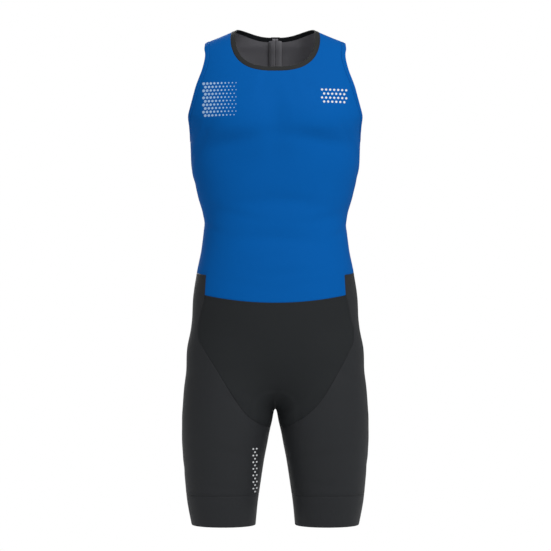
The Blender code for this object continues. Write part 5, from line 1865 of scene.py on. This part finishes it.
# %% Pull tab: an eye round the pin, a flat grip and its ribs
EYE_RIM = 0.3 * MM
GRIP_EDGE, GRIP_NARROW = 0.5 * MM, 0.96
RIB_LENGTH, RIB_RISE, RIB_EDGE = 0.9 * MM, 0.5 * MM, 0.24 * MM
RIB_START, RIB_STEP, RIB_COUNT = 3.4 * MM, 1.7 * MM, 5
wide, long, thin = TAB_SIZE
eye, hole, half = TAB_EYE_RADIUS, PIN_RADIUS + MOVING_GAP, wide / 2
eye_outline = [(eye - EYE_RIM, -half), (eye, EYE_RIM - half), (eye, half - EYE_RIM)]
eye_outline = [(hole, -half), *eye_outline, (eye - EYE_RIM, half), (hole, half)]
tab = bmesh.new()
lathed_ring(tab, eye_outline, (0, 0, 0))
grip_place = (0, EYE_RIM - (long + eye) / 2, 0)
rounded_block(tab, (wide, long - eye, thin), grip_place, GRIP_EDGE, narrow=GRIP_NARROW)
for step in range(RIB_COUNT):
    rib_place = (0, RIB_START + RIB_STEP * step - long, 0)
    rounded_block(tab, (wide * 0.72, RIB_LENGTH, thin + RIB_RISE), rib_place, RIB_EDGE)
pin_place = main_frame @ Matrix.Translation((0, PIN_ALONG, PIN_RAISE))
hard_piece("pull_tab_grip", tab, pin_place, "pull_tab", "pull_tab", metal)

# %% [markdown]
# ## Seat pad
# The pad is foam between two layers of brushed knit. It is thick in the middle, thin at its
# sewn edge, and has pressed channels so that it bends with the leg. It lies inside the
# shorts, so it is a closed form whose inner side swells and whose outer side follows the
# cloth. The channels are grooves in its thickness, drawn by distance from a few lines.

# %% Pad with channels
PAD_COLUMNS = ("along", "half_width")
PAD = (
    (0.0, 12), (0.05, 28), (0.13, 38), (0.3, 38), (0.48, 35),
    (0.65, 40), (0.8, 50), (0.93, 44), (1.0, 20),
)
PAD_FRONT_HEIGHT = -632 * MM
PAD_BACK_HEIGHT = -575 * MM
PAD_WALL = 5.0 * MM
PAD_EDGE_WALL = 1.4 * MM
PAD_DEPTH = 1.7 * MM
PAD_ROWS = 72
PAD_HALF_COLUMNS = 26
CHANNEL_COLUMNS = ("along", "bend", "reach", "depth")
PAD_CHANNELS = (
    (0.24, 0.05, 0.9, 1.5),
    (0.45, -0.04, 0.9, 1.5),
    (0.66, -0.07, 0.9, 1.6),
    (0.83, -0.05, 0.7, 1.2),
)
CHANNEL_WIDTH = 0.014
MIDDLE_CHANNEL_DEPTH = 1.7 * MM
MIDDLE_CHANNEL_WIDTH = 0.10
MIDDLE_CHANNEL_ENDS = (0.12, 0.92)


def interpolate_row(rows, along, at, column):
    """Point of one grid column at a distance along the middle line."""
    return np.array([np.interp(at, along, rows[:, column, i]) for i in range(3)])


def pad_grid():
    """Rows of points along the crotch, from the pad's front edge to its back edge."""
    front, seat = brief_grid(-1), brief_grid(1)
    rows = np.concatenate([front, seat[-2::-1]])
    spine = rows[:, FRONT_COLUMNS]
    along = np.concatenate([[0], np.cumsum(np.linalg.norm(np.diff(spine, axis=0), axis=1))])
    count = len(front)
    start = np.interp(-PAD_FRONT_HEIGHT, -front[:, FRONT_COLUMNS, 2], along[:count])
    end = np.interp(PAD_BACK_HEIGHT, seat[::-1, FRONT_COLUMNS, 2], along[count - 1 :])
    share = (1 - np.cos(np.linspace(0, math.pi, PAD_ROWS))) / 2
    table = dict(zip(PAD_COLUMNS, np.array(PAD, float).T))
    half = np.interp(share, table["along"], table["half_width"]) * MM
    across = np.linspace(0, 1, PAD_HALF_COLUMNS + 1)
    grid = []
    for at, reach in zip(start + (end - start) * share, half):
        line = np.stack([interpolate_row(rows, along, at, k) for k in range(rows.shape[1])])
        sides = []
        for part_line in (line[FRONT_COLUMNS::-1], line[FRONT_COLUMNS:]):
            step = np.linalg.norm(np.diff(part_line, axis=0), axis=1)
            length = np.concatenate([[0], np.cumsum(step)])
            spots = [np.interp(across * reach, length, part_line[:, i]) for i in range(3)]
            sides.append(np.stack(spots, axis=-1))
        grid.append(np.concatenate([sides[0][:0:-1], sides[1]]))
    return share, np.array(grid)


def pad_thickness(share, off):
    """Thickness of the pad at places along and across it, with its pressed channels."""
    body = (1 - np.abs(off) ** 4) * np.sin(math.pi * share) ** 0.5
    wall = PAD_EDGE_WALL + (PAD_WALL - PAD_EDGE_WALL) * body
    first, last = MIDDLE_CHANNEL_ENDS
    middle = MIDDLE_CHANNEL_DEPTH * np.exp(-((off / MIDDLE_CHANNEL_WIDTH) ** 2))
    wall = wall - middle * (share > first) * (share < last) * body
    for row in PAD_CHANNELS:
        channel = dict(zip(CHANNEL_COLUMNS, row))
        line = channel["along"] + channel["bend"] * off**2
        groove = np.exp(-(((share - line) / CHANNEL_WIDTH) ** 2))
        groove = groove * (np.abs(off) < channel["reach"])
        wall = wall - channel["depth"] * MM * groove * body
    return np.maximum(wall, PAD_EDGE_WALL * 0.8)


pad_share, pad_points = pad_grid()
off = np.linspace(-1, 1, 2 * PAD_HALF_COLUMNS + 1)
thickness = pad_thickness(pad_share[:, None], off[None, :])
pad_panel = Panel(pad_points, values=thickness)
pad_cloth = cloth_material(
    "brushed pad cloth", (0.050, 0.052, 0.058), 0.9, 0.05, 0.12, wale=0.8, depth=0.03
)
pad_wall = pad_panel.values[:, 0]
pad_mesh = pad_panel.cloth("chamois", wall=pad_wall, lift=-(CLOTH_WALL + PAD_DEPTH))
pad_piece = scene_piece("chamois", pad_mesh, pad_cloth, pad_cloth)
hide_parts("seat_pad")
print("pad thickness", round(float(thickness.min()), 4), round(float(thickness.max()), 4))

# %% [markdown]
# ## Stitches
# Stretch cloth is sewn with a coverstitch: two even rows on the outside, a few millimetres
# apart, beside each seam. The rows are lines at an even distance from a seam, and the tree
# above lays one small bar of thread for each stitch. Blue thread goes on blue, black on
# black, so the rows show as fine texture and not as a pattern.

# %% Rows beside the seams
THREAD_LIFT = 0.05 * MM
BINDING_THREAD_LIFT = 0.42 * MM
SEAM_ROWS = (1.9 * MM, 4.3 * MM)
SIDE_ROW = 1.6 * MM
ARM_ROWS = (1.4 * MM, 3.8 * MM)
NECK_ROW = 1.5 * MM
ROW_TOP = -8 * MM
SIDEWAYS = np.array([1.0, 0.0, 0.0])
DOWN = np.array([0.0, 0.0, -1.0])


def line_beside(line, distance):
    """The line moved sideways along the cloth."""
    along = np.gradient(line, axis=0)
    away = np.cross(along, normals(line))
    away /= np.linalg.norm(away, axis=1)[:, None]
    return settle(line + away * distance)


def rows_beside(line, side):
    """Two stitch rows on one side of a seam line."""
    fine = resample(line, 3 * len(line))
    return [on_cloth(line_beside(fine, side * gap), THREAD_LIFT) for gap in SEAM_ROWS]


def rows_moved(line, way, turn=np.asarray):
    """Two stitch rows, the line moved straight one way and then turned."""
    return [on_cloth(turn(settle(line + way * gap)), THREAD_LIFT) for gap in SEAM_ROWS]


side_heights = np.linspace(STEP_SIDE_HEIGHT, seams.side_heights[-1], 80)
side_line = ring_point(np.full(80, math.pi / 2), side_heights, -1)
zip_heights = np.linspace(ZIP_END_HEIGHT, ROW_TOP, 160)
zip_line = front_view_point(np.full(160, ZIP_HALF_GAP), zip_heights, 1)
back_heights = np.linspace(WAIST_MIDDLE_HEIGHT, ZIP_END_HEIGHT, 90)
back_line = front_view_point(np.zeros(90), back_heights, 1)
arm_turns = np.linspace(0, 2 * math.pi, 400)
neck_turns = np.linspace(0, seams.neck_back_turns[-1], 400)

blue_rows, black_rows = [], []
for turn in (np.asarray, mirrored):
    for gap in ARM_ROWS:
        row = turn(beside(armhole_edge, arm_turns, gap - BINDING_WIDTH))
        blue_rows.append(on_cloth(row, BINDING_THREAD_LIFT))
    for way in (1, -1):
        row = turn(line_beside(side_line, way * SIDE_ROW))
        blue_rows.append(on_cloth(row, THREAD_LIFT))
    for line in (zip_line, back_line):
        blue_rows += rows_moved(line, SIDEWAYS, turn)
    for side in (-1, 1):
        black_rows += rows_moved(resample(turn(waist_row(side)), 160), DOWN)
for turn in (np.asarray, mirrored):
    row = turn(beside(neck_edge, neck_turns, BINDING_WIDTH - NECK_ROW))
    black_rows.append(on_cloth(row, BINDING_THREAD_LIFT))
for side_name, sign in (("left", -1.0), ("right", 1.0)):
    for side in (-1, 1):
        black_rows += rows_beside(seam_loop(side_name, side), -side * sign)
    for gap in SEAM_ROWS:
        row = tube_row(sign, np.full(LEG_RING + 1, BAND_TOP + gap))
        black_rows.append(on_cloth(row, THREAD_LIFT))
    black_rows += rows_moved(resample(step_line(sign), 120), DOWN)
blue_stitches = lay_bars("stitches_blue", blue_rows, BLUE_THREAD)
black_stitches = lay_bars("stitches_black", black_rows, BLACK_THREAD)
